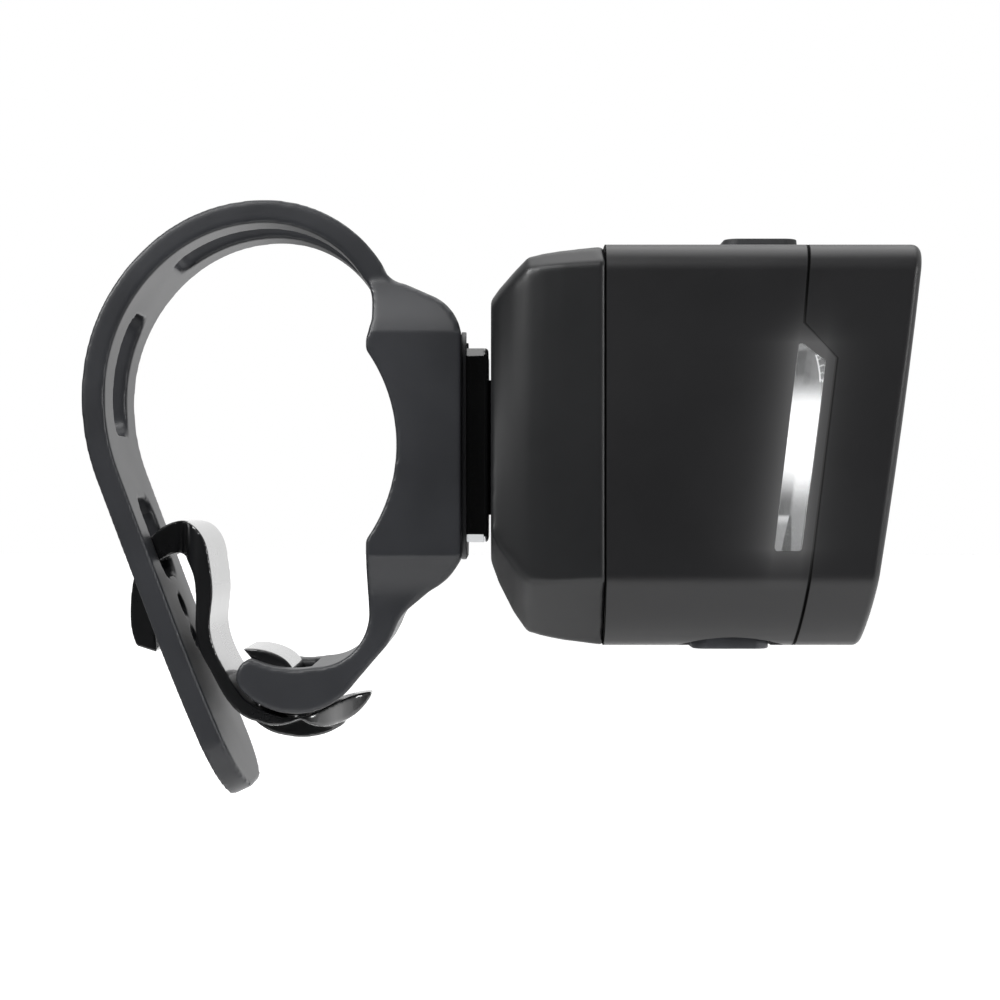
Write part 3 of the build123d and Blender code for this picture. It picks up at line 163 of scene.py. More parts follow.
class Board:
    """A node tree that takes a node's kind, its settings and its values in one call."""

    def __init__(self, tree):
        self.tree = tree
        self.tree.nodes.clear()

    def feed(self, target, value):
        """Link a wire to a socket or set its value, where a colour may leave out its alpha."""
        if isinstance(value, Wire):
            self.tree.links.new(value.socket, target)
        elif target.type == "RGBA":
            target.default_value = (*value, 1.0)[:4]
        else:
            target.default_value = value

    def node(self, kind, settings=None, values=None, out=0):
        """Add a node, set it, feed its sockets and return one output."""
        made = self.tree.nodes.new(kind)
        for name, value in (settings or {}).items():
            setattr(made, name, value)
        for name, value in (values or {}).items():
            self.feed(made.inputs[name], value)
        return Wire(self, made.outputs[out])

    def split(self, vector):
        """The three numbers of a vector."""
        first = self.node("ShaderNodeSeparateXYZ", None, {"Vector": vector})
        return [Wire(self, output) for output in first.socket.node.outputs]

    def ray(self, kind):
        """1 for one kind of ray, such as Is Camera Ray, and 0 for the rest."""
        return self.node("ShaderNodeLightPath", out=kind)

    def mirrored(self):
        """1 for what a glossy or a clear surface shows of this one."""
        return self.ray("Is Glossy Ray").high(self.ray("Is Transmission Ray"))

    def show(self, kind, surface):
        """Send a shader to the tree's output node."""
        self.feed(self.tree.nodes.new(kind).inputs["Surface"], surface)


class Finish(Board):
    """A node material on the Principled shader, read in Object coordinates."""

    def __init__(self, name, colour, roughness, **sockets):
        self.material = bpy.data.materials.new(name)
        self.material.use_nodes = True
        super().__init__(self.material.node_tree)
        surface = self.node("ShaderNodeBsdfPrincipled")
        self.shader = surface.socket.node
        self.show("ShaderNodeOutputMaterial", surface)
        self.material.diffuse_color = (*colour, 1.0)
        self.put("Base Color", colour)
        self.put("Roughness", roughness)
        for socket, value in sockets.items():
            self.put(socket.replace("_", " "), value)

    def put(self, socket, value):
        """Feed a socket of the shader."""
        self.feed(self.shader.inputs[socket], value)

    def place(self):
        """Place on the piece in metres, as a vector."""
        return self.node("ShaderNodeTexCoord", out="Object")

    def axes(self):
        """Place on the piece in millimetres, as three numbers."""
        return [part * (1 / MM) for part in self.split(self.place())]

    def noise(self, size, detail=2.0, stretch=None):
        """Cloudy noise with lumps of about the given size in millimetres."""
        place = self.place()
        if stretch:
            place = self.node("ShaderNodeMapping", None, {"Vector": place, "Scale": stretch})
        values = {"Vector": place, "Scale": 1 / (size * MM), "Detail": detail}
        return self.node("ShaderNodeTexNoise", None, values, "Fac")

    def cells(self, size):
        """Cell pattern with cells of about the given size in millimetres."""
        values = {"Vector": self.place(), "Scale": 1 / (size * MM)}
        return self.node("ShaderNodeTexVoronoi", {"feature": "F1"}, values, "Distance")

    def blend(self, mask, first, second):
        """Colour between first and second by a mask from 0 to 1."""
        factor, start, end, result = 0, 6, 7, 2
        values = {factor: mask, start: first, end: second}
        return self.node("ShaderNodeMix", {"data_type": "RGBA"}, values, result)

    def flecked(self, cloud, fine, level, tint, fleck):
        """Grey that drifts by a share of itself over a cloudy and a fine noise."""
        dull, light = grey(level * (1 - fleck), tint), grey(level * (1 + fleck), tint)
        return self.blend(cloud.step(0.3, 0.7) * 0.6 + fine * 0.4, dull, light)

    def relief(self, height, depth):
        """Bump of a height from 0 to 1, depth millimetres deep, on the shader's Normal."""
        values = {"Height": height, "Distance": depth * MM, "Strength": 1.0}
        self.put("Normal", self.node("ShaderNodeBump", None, values))

    def glow(self, light, strength=1.0):
        """Light that the surface gives off."""
        self.put("Emission Color", light)
        self.put("Emission Strength", strength)


def grey(level, tint=(1.0, 1.0, 1.0)):
    """Linear colour of a screen grey from 0 to 255, tinted."""
    share = level / 255
    light = share / 12.92 if share <= 0.04045 else ((share + 0.055) / 1.055) ** 2.4
    return tuple(light * part for part in tint)


# Tints of the rubber and small plastics, of the front shells and of the rear shell
COOL = (1.0, 1.05, 1.2)
PLAIN = (1.0, 0.99, 1.1)
SLATE = (1.0, 1.04, 1.14)


def moulded(name, level, roughness, grain=0.04, depth=0.004, fleck=0.12, **more):
    """Moulded plastic or rubber: fine grain, a slight change of colour and of sheen."""
    finish = Finish(name, grey(level, COOL), roughness, **more)
    cloud, fine = finish.noise(11.0, 3.0), finish.noise(grain)
    finish.put("Base Color", finish.flecked(cloud, fine, level, COOL, fleck))
    finish.put("Roughness", (cloud - 0.5) * 0.12 + (fine - 0.5) * 0.08 + roughness)
    finish.relief(fine, depth)
    return finish.material


def machined(name, colour, roughness, lay=(1.0, 12.0, 12.0)):
    """Drawn, rolled or brushed metal, its fine lines along the axis that lay stretches least."""
    finish = Finish(name, colour, roughness, Metallic=1.0)
    lines, stain = finish.noise(0.5, 3.0, stretch=lay), finish.noise(6.0)
    worn_share = 0.78
    worn = tuple(part * worn_share for part in colour)
    finish.put("Base Color", finish.blend(lines * 0.5 + stain * 0.5, worn, colour))
    finish.put("Roughness", lines * 0.16 + stain * 0.08 + (roughness - 0.12))
    finish.relief(lines, 0.002)
    return finish.material


def clear(name, haze=0.03):
    """Clear moulded plastic with the faintest haze and ripple."""
    finish = Finish(name, (0.97, 0.98, 1.0), haze, IOR=1.49, Transmission_Weight=1.0)
    wave, dust = finish.noise(5.0), finish.noise(0.35)
    finish.put("Roughness", dust.step(0.45, 0.85) * 0.06 + haze)
    finish.put("Base Color", finish.blend(wave, (0.95, 0.97, 0.98), (0.98, 0.99, 1.0)))
    finish.relief(wave, 0.0015)
    return finish.material


def clean_copy(node, name):
    """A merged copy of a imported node, its flat faces joined, at the same place."""
    weld, flat_angle = 0.0015, 0.4
    mesh = frame["nodes"][node].data.copy()
    mesh.materials.clear()
    work = bmesh.new()
    work.from_mesh(mesh)
    bmesh.ops.remove_doubles(work, verts=work.verts, dist=weld * MM)
    bmesh.ops.dissolve_limit(
        work, angle_limit=math.radians(flat_angle), use_dissolve_boundaries=False,
        verts=work.verts, edges=work.edges,
    )
    work.to_mesh(mesh)
    work.free()
    mesh.name = name
    piece = bpy.data.objects.new(name, mesh)
    bpy.context.scene.collection.objects.link(piece)
    return piece


def baked(piece):
    """Turn an object's modifiers into its plain mesh."""
    graph = bpy.context.evaluated_depsgraph_get()
    mesh = bpy.data.meshes.new_from_object(piece.evaluated_get(graph), depsgraph=graph)
    piece.modifiers.clear()
    piece.data = mesh
    return piece


def smooth(piece):
    """Smooth shading that stops at sharp edges."""
    sharp_angle = 32.0
    mesh = piece.data
    mesh.shade_smooth()
    work = bmesh.new()
    work.from_mesh(mesh)
    limit = math.radians(sharp_angle)
    for edge in work.edges:
        edge.smooth = len(edge.link_faces) == 2 and edge.calc_face_angle(0.0) < limit
    work.to_mesh(mesh)
    work.free()


def levelled(piece):
    """Let the large faces rule the shading, so that flat ones look flat beside their edges."""
    even = piece.modifiers.new("level", "WEIGHTED_NORMAL")
    even.keep_sharp = True
    even.weight = 100
    return baked(piece)


def rounded(piece, width, segments=2):
    """Round the sharp edges of a piece, in millimetres."""
    sharp_angle = 28.0
    bevel = piece.modifiers.new("round", "BEVEL")
    bevel.limit_method = "ANGLE"
    bevel.angle_limit = math.radians(sharp_angle)
    bevel.width = width * MM
    bevel.segments = segments
    bevel.use_clamp_overlap = True
    bevel.miter_outer = "MITER_ARC"
    baked(piece)
    smooth(piece)
    return levelled(piece)


def eased(piece, rounds):
    """Add a modifier that eases a piece's mesh by so many rounds."""
    ease = piece.modifiers.new("ease", "SMOOTH")
    ease.factor = 0.5
    ease.iterations = rounds
    return ease


def softened(piece, voxel, rounds, regain):
    """Remesh a piece evenly, ease it and move its skin out, or in where regain is negative."""
    remesh = piece.modifiers.new("even", "REMESH")
    remesh.mode = "VOXEL"
    remesh.voxel_size = voxel * MM
    eased(piece, rounds)
    swell = piece.modifiers.new("swell", "DISPLACE")
    swell.mid_level = 0.0
    swell.strength = regain * MM
    baked(piece)
    piece.data.shade_smooth()
    return piece


def body_of(node):
    """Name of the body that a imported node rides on."""
    for body, members in frame["record"]["behaviour"]["bodies"].items():
        if node in members:
            return body
    raise ValueError(node)


def stand_for(piece, node, *materials):
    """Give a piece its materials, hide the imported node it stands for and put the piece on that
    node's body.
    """
    for material in materials:
        piece.data.materials.append(material)
    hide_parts(node)
    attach(piece, body_of(node))
    return piece


def dress(node, name, material, width, segments=2):
    """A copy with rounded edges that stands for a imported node."""
    return stand_for(rounded(clean_copy(node, name), width, segments), node, material)


def dress_soft(node, name, material, soft):
    """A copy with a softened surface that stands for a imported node."""
    return stand_for(softened(clean_copy(node, name), *soft), node, material)


def finish_node(node, material):
    """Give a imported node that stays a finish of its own."""
    thing = frame["nodes"][node]
    thing.data.materials.clear()
    thing.data.materials.append(material)


class Repeat:
    """Geometry Nodes that set one template on many points and make it real."""

    def __init__(self, name):
        self.tree = bpy.data.node_groups.new(name, "GeometryNodeTree")
        sockets = self.tree.interface
        self.keys = {}
        for label, kind in (
            ("Points", "NodeSocketGeometry"), ("Template", "NodeSocketObject"),
            ("Scale", "NodeSocketFloat"), ("Turn", "NodeSocketVector"),
            ("Material", "NodeSocketMaterial"),
        ):
            made = sockets.new_socket(label, in_out="INPUT", socket_type=kind)
            self.keys[label] = made.identifier
        sockets.new_socket("Pieces", in_out="OUTPUT", socket_type="NodeSocketGeometry")
        start = self.tree.nodes.new("NodeGroupInput")
        template = self.tree.nodes.new("GeometryNodeObjectInfo")
        template.transform_space = "ORIGINAL"
        on_points = self.tree.nodes.new("GeometryNodeInstanceOnPoints")
        turn = self.tree.nodes.new("FunctionNodeEulerToRotation")
        real = self.tree.nodes.new("GeometryNodeRealizeInstances")
        paint = self.tree.nodes.new("GeometryNodeSetMaterial")
        end = self.tree.nodes.new("NodeGroupOutput")
        link = self.tree.links.new
        link(start.outputs["Points"], on_points.inputs["Points"])
        link(start.outputs["Template"], template.inputs["Object"])
        link(template.outputs["Geometry"], on_points.inputs["Instance"])
        link(start.outputs["Turn"], turn.inputs[0])
        link(turn.outputs[0], on_points.inputs["Rotation"])
        link(start.outputs["Scale"], on_points.inputs["Scale"])
        link(on_points.outputs["Instances"], real.inputs["Geometry"])
        link(real.outputs["Geometry"], paint.inputs["Geometry"])
        link(start.outputs["Material"], paint.inputs["Material"])
        link(paint.outputs["Geometry"], end.inputs["Pieces"])

    def set_out(self, name, template, places, material, turn):
        """One plain mesh with the template, turned, at each place."""
        points = bpy.data.meshes.new(name)
        points.from_pydata(places, [], [])
        piece = bpy.data.objects.new(name, points)
        bpy.context.scene.collection.objects.link(piece)
        nodes = piece.modifiers.new("repeat", "NODES")
        nodes.node_group = self.tree
        for label, value in (
            ("Template", template), ("Scale", 1.0), ("Turn", turn), ("Material", material),
        ):
            nodes[self.keys[label]] = value
        return baked(piece)


def turned(name, outline, sides=24):
    """An unlinked object turned round Z from pairs of radius and height, in millimetres."""
    work = bmesh.new()
    rings = []
    for radius, height in outline:
        angles = [math.tau * i / sides for i in range(sides)]
        points = [(radius * math.cos(turn), radius * math.sin(turn), height) for turn in angles]
        rings.append([work.verts.new(Vector(point) * MM) for point in points])
    for low, high in zip(rings, rings[1:]):
        for i in range(sides):
            j = (i + 1) % sides
            work.faces.new((low[i], low[j], high[j], high[i]))
    work.faces.new(rings[0][::-1])
    work.faces.new(rings[-1])
    bmesh.ops.recalc_face_normals(work, faces=work.faces)
    mesh = bpy.data.meshes.new(name)
    work.to_mesh(mesh)
    work.free()
    return bpy.data.objects.new(name, mesh)


def screw_template(name, length, looks):
    """Countersunk screw along -Z with its head's face at 0, a drive socket and a thread."""
    head, rim, depth = looks.head / MM, 0.08, looks.socket_depth / MM
    shank, neck, crest, root, tip = 1.0, 1.2, 0.99, 0.86, 0.6
    pitch, thread_start = 0.4, neck + 0.1
    outline = [
        (0.35, -depth), (0.62, -depth * 0.9), (0.65, -0.05), (0.7, 0.0),
        (head - rim, 0.0), (head, -rim), (shank, -neck),
    ]
    for turn in range(int((length - neck - pitch) / pitch)):
        top = -thread_start - turn * pitch
        outline += [(crest, top), (root, top - 0.12), (root, top - 0.2), (crest, top - 0.32)]
    outline.append((tip, -length))
    screw = turned(name, outline)
    screw.data.shade_smooth()
    return screw


def leaning(height, x, foot, lean):
    """X at a height on a leaning line of the side view that passes through x and foot."""
    return (height - foot) * lean + x


def window_place(finish):
    """Place in a side window in millimetres: across from its rear edge, and up."""
    x, _, z = finish.axes()
    return x - leaning(z, WINDOW_HEEL_X, WINDOW_HEEL_Z, WINDOW_LEAN), z


class StrapLooks(bpy.types.PropertyGroup):
    """Mesh and greys of the rubber strap and its hook"""
    voxel: bpy.props.FloatProperty(
        name="Mesh size", description="Size of the rubber's even mesh",
        default=0.3 * MM, min=0.2 * MM, max=1.0 * MM, unit="LENGTH", precision=5,
    )
    edge: bpy.props.IntProperty(
        name="Edge easing", description="Rounds of easing along the rubber's edges",
        default=4, min=0, max=40,
    )
    tone: bpy.props.FloatProperty(
        name="Rubber grey", description="Screen grey of the rubber, from 0 to 255",
        default=41.0, min=0.0, max=255.0,
    )
    hook_tone: bpy.props.FloatProperty(
        name="Hook grey", description="Screen grey of the glossy hook, from 0 to 255",
        default=14.0, min=0.0, max=255.0,
    )


class DockLooks(bpy.types.PropertyGroup):
    """Greys of the dock, its plate and the foot"""
    tone: bpy.props.FloatProperty(
        name="Dock grey", description="Screen grey of the glossy dock, from 0 to 255",
        default=6.0, min=0.0, max=255.0,
    )
    plate_tone: bpy.props.FloatProperty(
        name="Plate grey", description="Screen grey of the plate and the foot, from 0 to 255",
        default=26.0, min=0.0, max=255.0,
    )


class ScrewLooks(bpy.types.PropertyGroup):
    """Sizes of the screws' heads"""
    head: bpy.props.FloatProperty(
        name="Head radius", description="Radius of the screws' countersunk heads",
        default=1.8 * MM, min=1.2 * MM, max=1.8 * MM, unit="LENGTH", precision=5,
    )
    socket_depth: bpy.props.FloatProperty(
        name="Socket depth", description="Depth of the drive sockets",
        default=0.7 * MM, min=0.2 * MM, max=1.0 * MM, unit="LENGTH", precision=5,
    )


class ShellLooks(bpy.types.PropertyGroup):
    """Edges, greys and seams of the head's shells"""
    edge: bpy.props.FloatProperty(
        name="Edge radius", description="Radius of the shells' outer edges and seams",
        default=0.16 * MM, min=0.0, max=0.6 * MM, unit="LENGTH", precision=5,
    )
    tone: bpy.props.FloatProperty(
        name="Shell grey", description="Screen grey of the shells, from 0 to 255",
        default=22.0, min=0.0, max=255.0,
    )
    seam: bpy.props.FloatProperty(
        name="Seam width", description="Width of the dark line at the seams",
        default=0.3 * MM, min=0.0, max=1.0 * MM, unit="LENGTH", precision=5,
    )
    # Painted glow: the shells beside the windows give off light of their own, standing in for the
    # windows' spill
    halo: bpy.props.FloatProperty(
        name="Window halo", description="Light that the windows spread on the shell beside them",
        default=0.085, min=0.0, max=1.0,
    )
    button_tone: bpy.props.FloatProperty(
        name="Button grey", description="Screen grey of the button, from 0 to 255",
        default=24.0, min=0.0, max=255.0,
    )


class LampLooks(bpy.types.PropertyGroup):
    """Strength of the windows and the emitters"""
    glow: bpy.props.FloatProperty(
        name="Window glow", description="Strength of the light in the side windows",
        default=1.15, min=0.0, max=10.0,
    )
    beam: bpy.props.FloatProperty(
        name="Emitter glow", description="Strength of the two front emitters",
        default=1.5, min=0.0, max=50.0,
    )


class StageLooks(bpy.types.PropertyGroup):
    """Floor under the light and its paper"""
    floor: bpy.props.FloatProperty(
        name="Floor height", description="Height of the floor under the handlebar's axis",
        default=-0.085, soft_min=-0.5, soft_max=0.0, unit="LENGTH",
    )
    paper: bpy.props.FloatVectorProperty(
        name="Paper", description="Colour of the floor and the backdrop",
        subtype="COLOR", size=3, default=(0.9, 0.9, 0.9), min=0.0, max=1.0,
    )
    # Painted shade: on the strap's side the paper keeps only this share of its colour, a dark sheet
    # that shades the light's faces there
    shade: bpy.props.FloatProperty(
        name="Far side", description="Share of the paper's colour left on the strap's side",
        default=0.3, min=0.0, max=1.0,
    )
    back: bpy.props.FloatProperty(
        name="Paper light", description="White that the paper adds for the camera",
        default=0.55, min=0.0, max=1.0,
    )
    # Painted shadow: how much darker the paper near the light looks to the camera
    ground: bpy.props.FloatProperty(
        name="Shadow tone", description="How far the paper under the light darkens to the camera",
        default=0.45, min=0.0, max=1.0,
    )


def settings():
    """The looks that the panel shows."""
    return bpy.context.scene.bike_light


class LIGHT_OT_strap(bpy.types.Operator):
    """Rubber strap with its saddle and lower arm"""
    bl_idname = "light.strap"
    bl_label = "Strap"

    def execute(self, context):
        looks = settings().strap
        rubber = moulded("strap rubber", looks.tone, 0.4, grain=0.05, depth=0.005)
        soft = (looks.voxel / MM, looks.edge, STRAP_REGAIN)
        dress_soft("rubber_strap", "strap_moulding", rubber, soft)
        return {"FINISHED"}


class LIGHT_OT_hook(bpy.types.Operator):
    """Glossy hook between the strap and the arm"""
    bl_idname = "light.hook"
    bl_label = "Hook"

    def execute(self, context):
        gloss = moulded(
            "hook gloss", settings().strap.hook_tone, 0.3, grain=0.2, depth=0.0006, fleck=0.05,
            Coat_Weight=1.0, Coat_Roughness=0.05,
        )
        dress_soft("strap_hook", "hook_moulding", gloss, HOOK_SOFT)
        return {"FINISHED"}


class LIGHT_OT_dock(bpy.types.Operator):
    """Dock with its plate and spring tongue, and the light's foot"""
    bl_idname = "light.dock"
    bl_label = "Dock"

    def execute(self, context):
        looks = settings().dock
        satin = moulded("plate satin", looks.plate_tone, 0.45)
        gloss = moulded(
            "dock gloss", looks.tone, 0.2, grain=0.2, depth=0.0006, fleck=0.05,
            Coat_Weight=0.6, Coat_Roughness=0.08,
        )
        polished = machined("polished lip", (0.6, 0.61, 0.62), 0.2, lay=(12.0, 1.0, 12.0))
        spring = machined("spring steel", (0.62, 0.62, 0.64), 0.3, lay=(12.0, 12.0, 1.0))
        dress("base_plate", "plate_moulding", satin, 0.12)
        dock = dress("dock_receiver", "dock_moulding", gloss, 0.1)
        dock.data.materials.append(polished)
        lip_top, facing_down = box_of("dock_receiver")[0].z + 0.85, -0.3
        for face in dock.data.polygons:
            if face.center.z < lip_top * MM and face.normal.z < facing_down:
                face.material_index = 1
        dress("dock_foot", "foot_moulding", satin, 0.12)
        finish_node("release_catch", spring)
        return {"FINISHED"}


class LIGHT_OT_screws(bpy.types.Operator):
    """Screws of the dock, the foot and the case"""
    bl_idname = "light.screws"
    bl_label = "Screws"

    def execute(self, context):
        looks = settings().screw
        steel = machined("black steel", (0.09, 0.09, 0.095), 0.34, lay=(2.0, 9.0, 9.0))
        repeat = Repeat("screws in rows")
        for node, name, heads_forward in (
            ("dock_screws", "dock_screw_set", True), ("foot_screws", "foot_screw_set", True),
            ("housing_screws", "case_screw_set", False),
        ):
            low, high = box_of(node)
            face = (high if heads_forward else low).x * MM
            rows = sorted({low.z * MM + looks.head, high.z * MM - looks.head})
            sides = sorted({round(low.y * MM + looks.head, 6), round(high.y * MM - looks.head, 6)})
            places = [(face, y, z) for y in sides for z in rows]
            template = screw_template(name + "_template", high.x - low.x, looks)
            turn = (0, math.pi / 2 if heads_forward else -math.pi / 2, 0)
            stand_for(repeat.set_out(name, template, places, steel, turn), node)
            bpy.data.objects.remove(template)
        return {"FINISHED"}


class LIGHT_OT_shells(bpy.types.Operator):
    """Rear, middle and front shells of the head"""
    bl_idname = "light.shells"
    bl_label = "Shells"

    def execute(self, context):
        looks = settings().shell
        # The last column is each shell's share of the windows' painted glow
        for node, name, tint, halo in (
            ("rear_housing", "rear_shell", SLATE, 0.0),
            ("core_housing", "middle_shell", PLAIN, 1.0),
            ("front_bezel", "front_shell", PLAIN, 0.45),
        ):
            plastic = self.satin(name, looks, tint, halo)
            if node == "rear_housing":
                stand_for(self.turn_eased(node, name), node, plastic)
            else:
                dress(node, name, plastic, looks.edge / MM)
        rubber = moulded("seal rubber", 24, 0.7, grain=0.08)
        finish_node("body_gasket", rubber)
        finish_node("lens_gasket", rubber)
        return {"FINISHED"}

    def turn_eased(self, node, name):
        """The rear shell with soft edges, and a softer turn round its back."""
        piece = softened(clean_copy(node, name), *REAR_SOFT)
        turn_x, reach_x, rounds = box_of(node)[0].x + 3.0, 3.0, 36
        flank_y, floor_z, fade = 14.0, 19.0, 2.0
        turn = piece.vertex_groups.new(name="turn")
        for point in piece.data.vertices:
            x, y, z = point.co / MM
            along = 1 - abs(x - turn_x) / reach_x
            share = along * min(1, (abs(y) - flank_y) / fade) * min(1, (floor_z - abs(z)) / fade)
            if share > 0:
                turn.add([point.index], share, "REPLACE")
        eased(piece, rounds).vertex_group = turn.name
        baked(piece)
        piece.data.shade_smooth()
        return piece

    def satin(self, name, looks, tint, halo):
        """Satin plastic with a dark line at its seams and the windows' halo, a painted glow that
        the shell gives off.
        """
        roughness = 0.4
        finish = Finish(name + " satin", grey(looks.tone, tint), roughness)
        x, y, z = finish.axes()
        cloud, fine = finish.noise(14.0, 3.0), finish.noise(0.06)
        ground = finish.flecked(cloud, fine, looks.tone, tint, 0.08)
        line = self.seam_line(x, y, z, looks.seam / MM / 2)
        finish.put("Base Color", finish.blend(line, ground, grey(14)))
        finish.put("Metallic", line)
        grain = (cloud - 0.5) * 0.1 + (fine - 0.5) * 0.06
        finish.put("Roughness", grain + roughness + line * 0.4)
        finish.relief(fine, 0.003)
        # painted glow: the shell itself gives off the windows' halo near its sides
        if halo:
            sides = abs(y).step(HEAD_HALF - 0.7, HEAD_HALF - 0.1)
            finish.glow(self.window_light(finish) * (looks.halo * halo) * sides)
        return finish.material

    def seam_line(self, x, y, z, half):
        """1 on the rear and the front seam, except where the middle shell carries the button."""
        step = leaning(z, SEAM_KNEE_X, SEAM_KNEE_Z, SEAM_STEP_LEAN)
        below = leaning(z, SEAM_KNEE_X, SEAM_KNEE_Z, SEAM_LOW_LEAN)
        above = leaning(z, SEAM_STEP_X, SEAM_STEP_Z, SEAM_HIGH_LEAN)
        off_tongue = (abs(y) - TONGUE_HALF).high(TONGUE_Z - z).step(0.0, 0.05)
        front = abs(x - above.high(step.low(below))).step(half * 1.6, half * 0.6) * off_tongue
        rear = abs(x - REAR_SEAM_X).step(half * 0.8, half * 0.3)
        return front.high(rear)

    def window_light(self, finish):
        """Painted glow that falls off round a side window, for the shell beside it to give off."""
        middle, half, middle_z, half_z, decay = 1.4, 1.5, -0.3, 10.6, 0.62
        across, up = window_place(finish)
        beside = (abs(across - middle) - half).high(0.0)
        over = (abs(up - middle_z) - half_z).high(0.0)
        return ((beside + over) * -decay).power_of(math.e)


class LIGHT_OT_windows(bpy.types.Operator):
    """Clear side windows with a lit diffusing back"""
    bl_idname = "light.windows"
    bl_label = "Side windows"

    def execute(self, context):
        pane, back = clear("window clear"), self.diffuser()
        for side in ("left", "right"):
            node = "side_window_" + side
            piece = rounded(clean_copy(node, "window_pane_" + side), 0.06)
            stand_for(piece, node, pane, back)
            inner_side = min(abs(corner.y) for corner in box_of(node)) + 0.02
            for face in piece.data.polygons:
                if abs(face.center.y) < inner_side * MM:
                    face.material_index = 1
        return {"FINISHED"}

    def diffuser(self):
        """Printed and textured back of a window, lit from inside."""
        finish = Finish("window diffuser", grey(180), 0.5)
        across, up = window_place(finish)
        speck, lumps = finish.noise(0.18, 3.0), finish.noise(0.6)
        tip, foot = up.step(9.3, 9.9), up.step(-7.3, -7.7)
        level = self.upper_print(across, up)
        level = level * (1.0 - tip) + (speck * 0.2 + 0.1) * tip
        level = level * self.fading(across, up)
        level = level * (1.0 - foot) + self.foot_print(across, up, speck) * foot
        finish.put("Base Color", finish.blend(lumps * 0.3 + speck * 0.2, grey(150), grey(205)))
        finish.put("Roughness", speck * 0.2 + 0.4)
        finish.glow(level.high(0.0), settings().lamp.glow)
        finish.relief(speck, 0.02)
        return finish.material

    def upper_print(self, across, up):
        """Lit middle of a window, with a recess, a band, a curved rim and a net at its top."""
        body = up.step(7.0, 2.8) * 0.95 + 0.12
        recess = across.within(0.35, 1.05, 0.15) * up.within(7.2, 9.4, 0.35)
        band = across.within(1.2, 1.75, 0.12) * up.within(6.3, 8.3, 0.5)
        rim_x, rim_top, rim_run, rim_bend = 1.88, 9.62, 0.46, 0.048
        fall = rim_top - up
        past = across - rim_x - fall * (rim_run - fall * rim_bend)
        rim = abs(past).step(0.12, 0.03) * up.within(6.4, 9.5, 0.2)
        pitch, rise = 0.78, 0.35
        rows = abs((up - across * rise) % pitch - pitch / 2).step(0.28, 0.35)
        net = rows * past.step(0.02, 0.08) * up.within(6.3, 9.2, 0.2)
        return body * (1.0 - recess * 0.6) * (1.0 - band * 0.3) + rim * 0.55 + net * 0.28

    def fading(self, across, up):
        """Share of the light left lower down, where the rear half fades sooner."""
        front = (across - WINDOW_MIDDLE).step(-0.25, 0.25)
        rear_left = 1.0 - up.step(-1.2, -6.4) * 0.95
        front_left = 1.0 - up.step(-1.6, -7.4) * 0.84
        return rear_left * (1.0 - front) + front_left * front

    def foot_print(self, across, up, speck):
        """Two dim patches at a window's foot, parted by a dark wedge."""
        wedge_top, wedge_run = -7.4, 0.11
        wedge = abs(across - WINDOW_MIDDLE) - (wedge_top - up) * wedge_run
        rear = across.step(1.5, 1.3) * (up.step(-8.6, -7.8) * 0.26 + 0.2)
        front = across.step(1.35, 1.55) * (speck * 0.1 + 0.11)
        patches = rear.high(front) * wedge.step(0.04, 0.16)
        return patches.high(speck.step(0.45, 0.75) * 0.06 + 0.012)


class LIGHT_OT_lamp(bpy.types.Operator):
    """Front lens, optic, emitters, their boards and the heat sink"""
    bl_idname = "light.lamp"
    bl_label = "Lamp"

    def execute(self, context):
        dress("front_lens", "lens_pane", clear("lens clear"), 0.12)
        dress("beam_optic", "optic_moulding", clear("optic clear", haze=0.08), 0.1)
        dress("heat_sink", "sink_casting", machined("sink alloy", (0.62, 0.63, 0.65), 0.42), 0.12)
        white = self.mask()
        finish_node("led_board", white)
        finish_node("side_boards", white)
        for node, die_inset in (("led_emitters", 1.75), ("side_leds", 0.35)):
            die_y = box_of(node)[1].y - die_inset
            dress(node, node + "_lit", self.phosphor(node + " phosphor", die_y), 0.06)
        return {"FINISHED"}

    def mask(self):
        """White solder mask with thin tracks under it."""
        finish = Finish("white mask", grey(215), 0.38)
        track = finish.noise(2.4, 0.0, stretch=(1.0, 1.0, 3.0))
        line, fine = abs(track - 0.5).step(0.02, 0.008), finish.noise(0.1)
        finish.put("Base Color", finish.blend(line * 0.5 + fine * 0.2, grey(225), grey(186)))
        finish.put("Roughness", fine * 0.12 + 0.32)
        finish.relief(line, 0.02)
        return finish.material

    def phosphor(self, name, die_y):
        """Yellow phosphor, lit round the dies that lie die_y to each side of the middle."""
        finish = Finish(name, (0.9, 0.78, 0.25), 0.25)
        _, y, _ = finish.axes()
        grain, core = finish.noise(0.15), abs(abs(y) - die_y).step(1.5, 0.9)
        light = finish.blend(core, (0.25, 0.2, 0.08), (1.0, 0.95, 0.8))
        finish.put("Base Color", finish.blend(grain, (0.86, 0.7, 0.16), (0.95, 0.86, 0.4)))
        finish.put("Roughness", grain * 0.15 + 0.15)
        finish.glow(light, settings().lamp.beam)
        finish.relief(grain, 0.01)
        return finish.material


class LIGHT_OT_button(bpy.types.Operator):
    """Power button and the switch under it"""
    bl_idname = "light.button"
    bl_label = "Button"

    def execute(self, context):
        tone = settings().shell.button_tone
        dress("power_button", "button_cap", moulded("button rubber", tone, 0.6), 0.3, 3)
        dress("button_switch", "switch_body", moulded("switch black", 30, 0.45), 0.1)
        return {"FINISHED"}


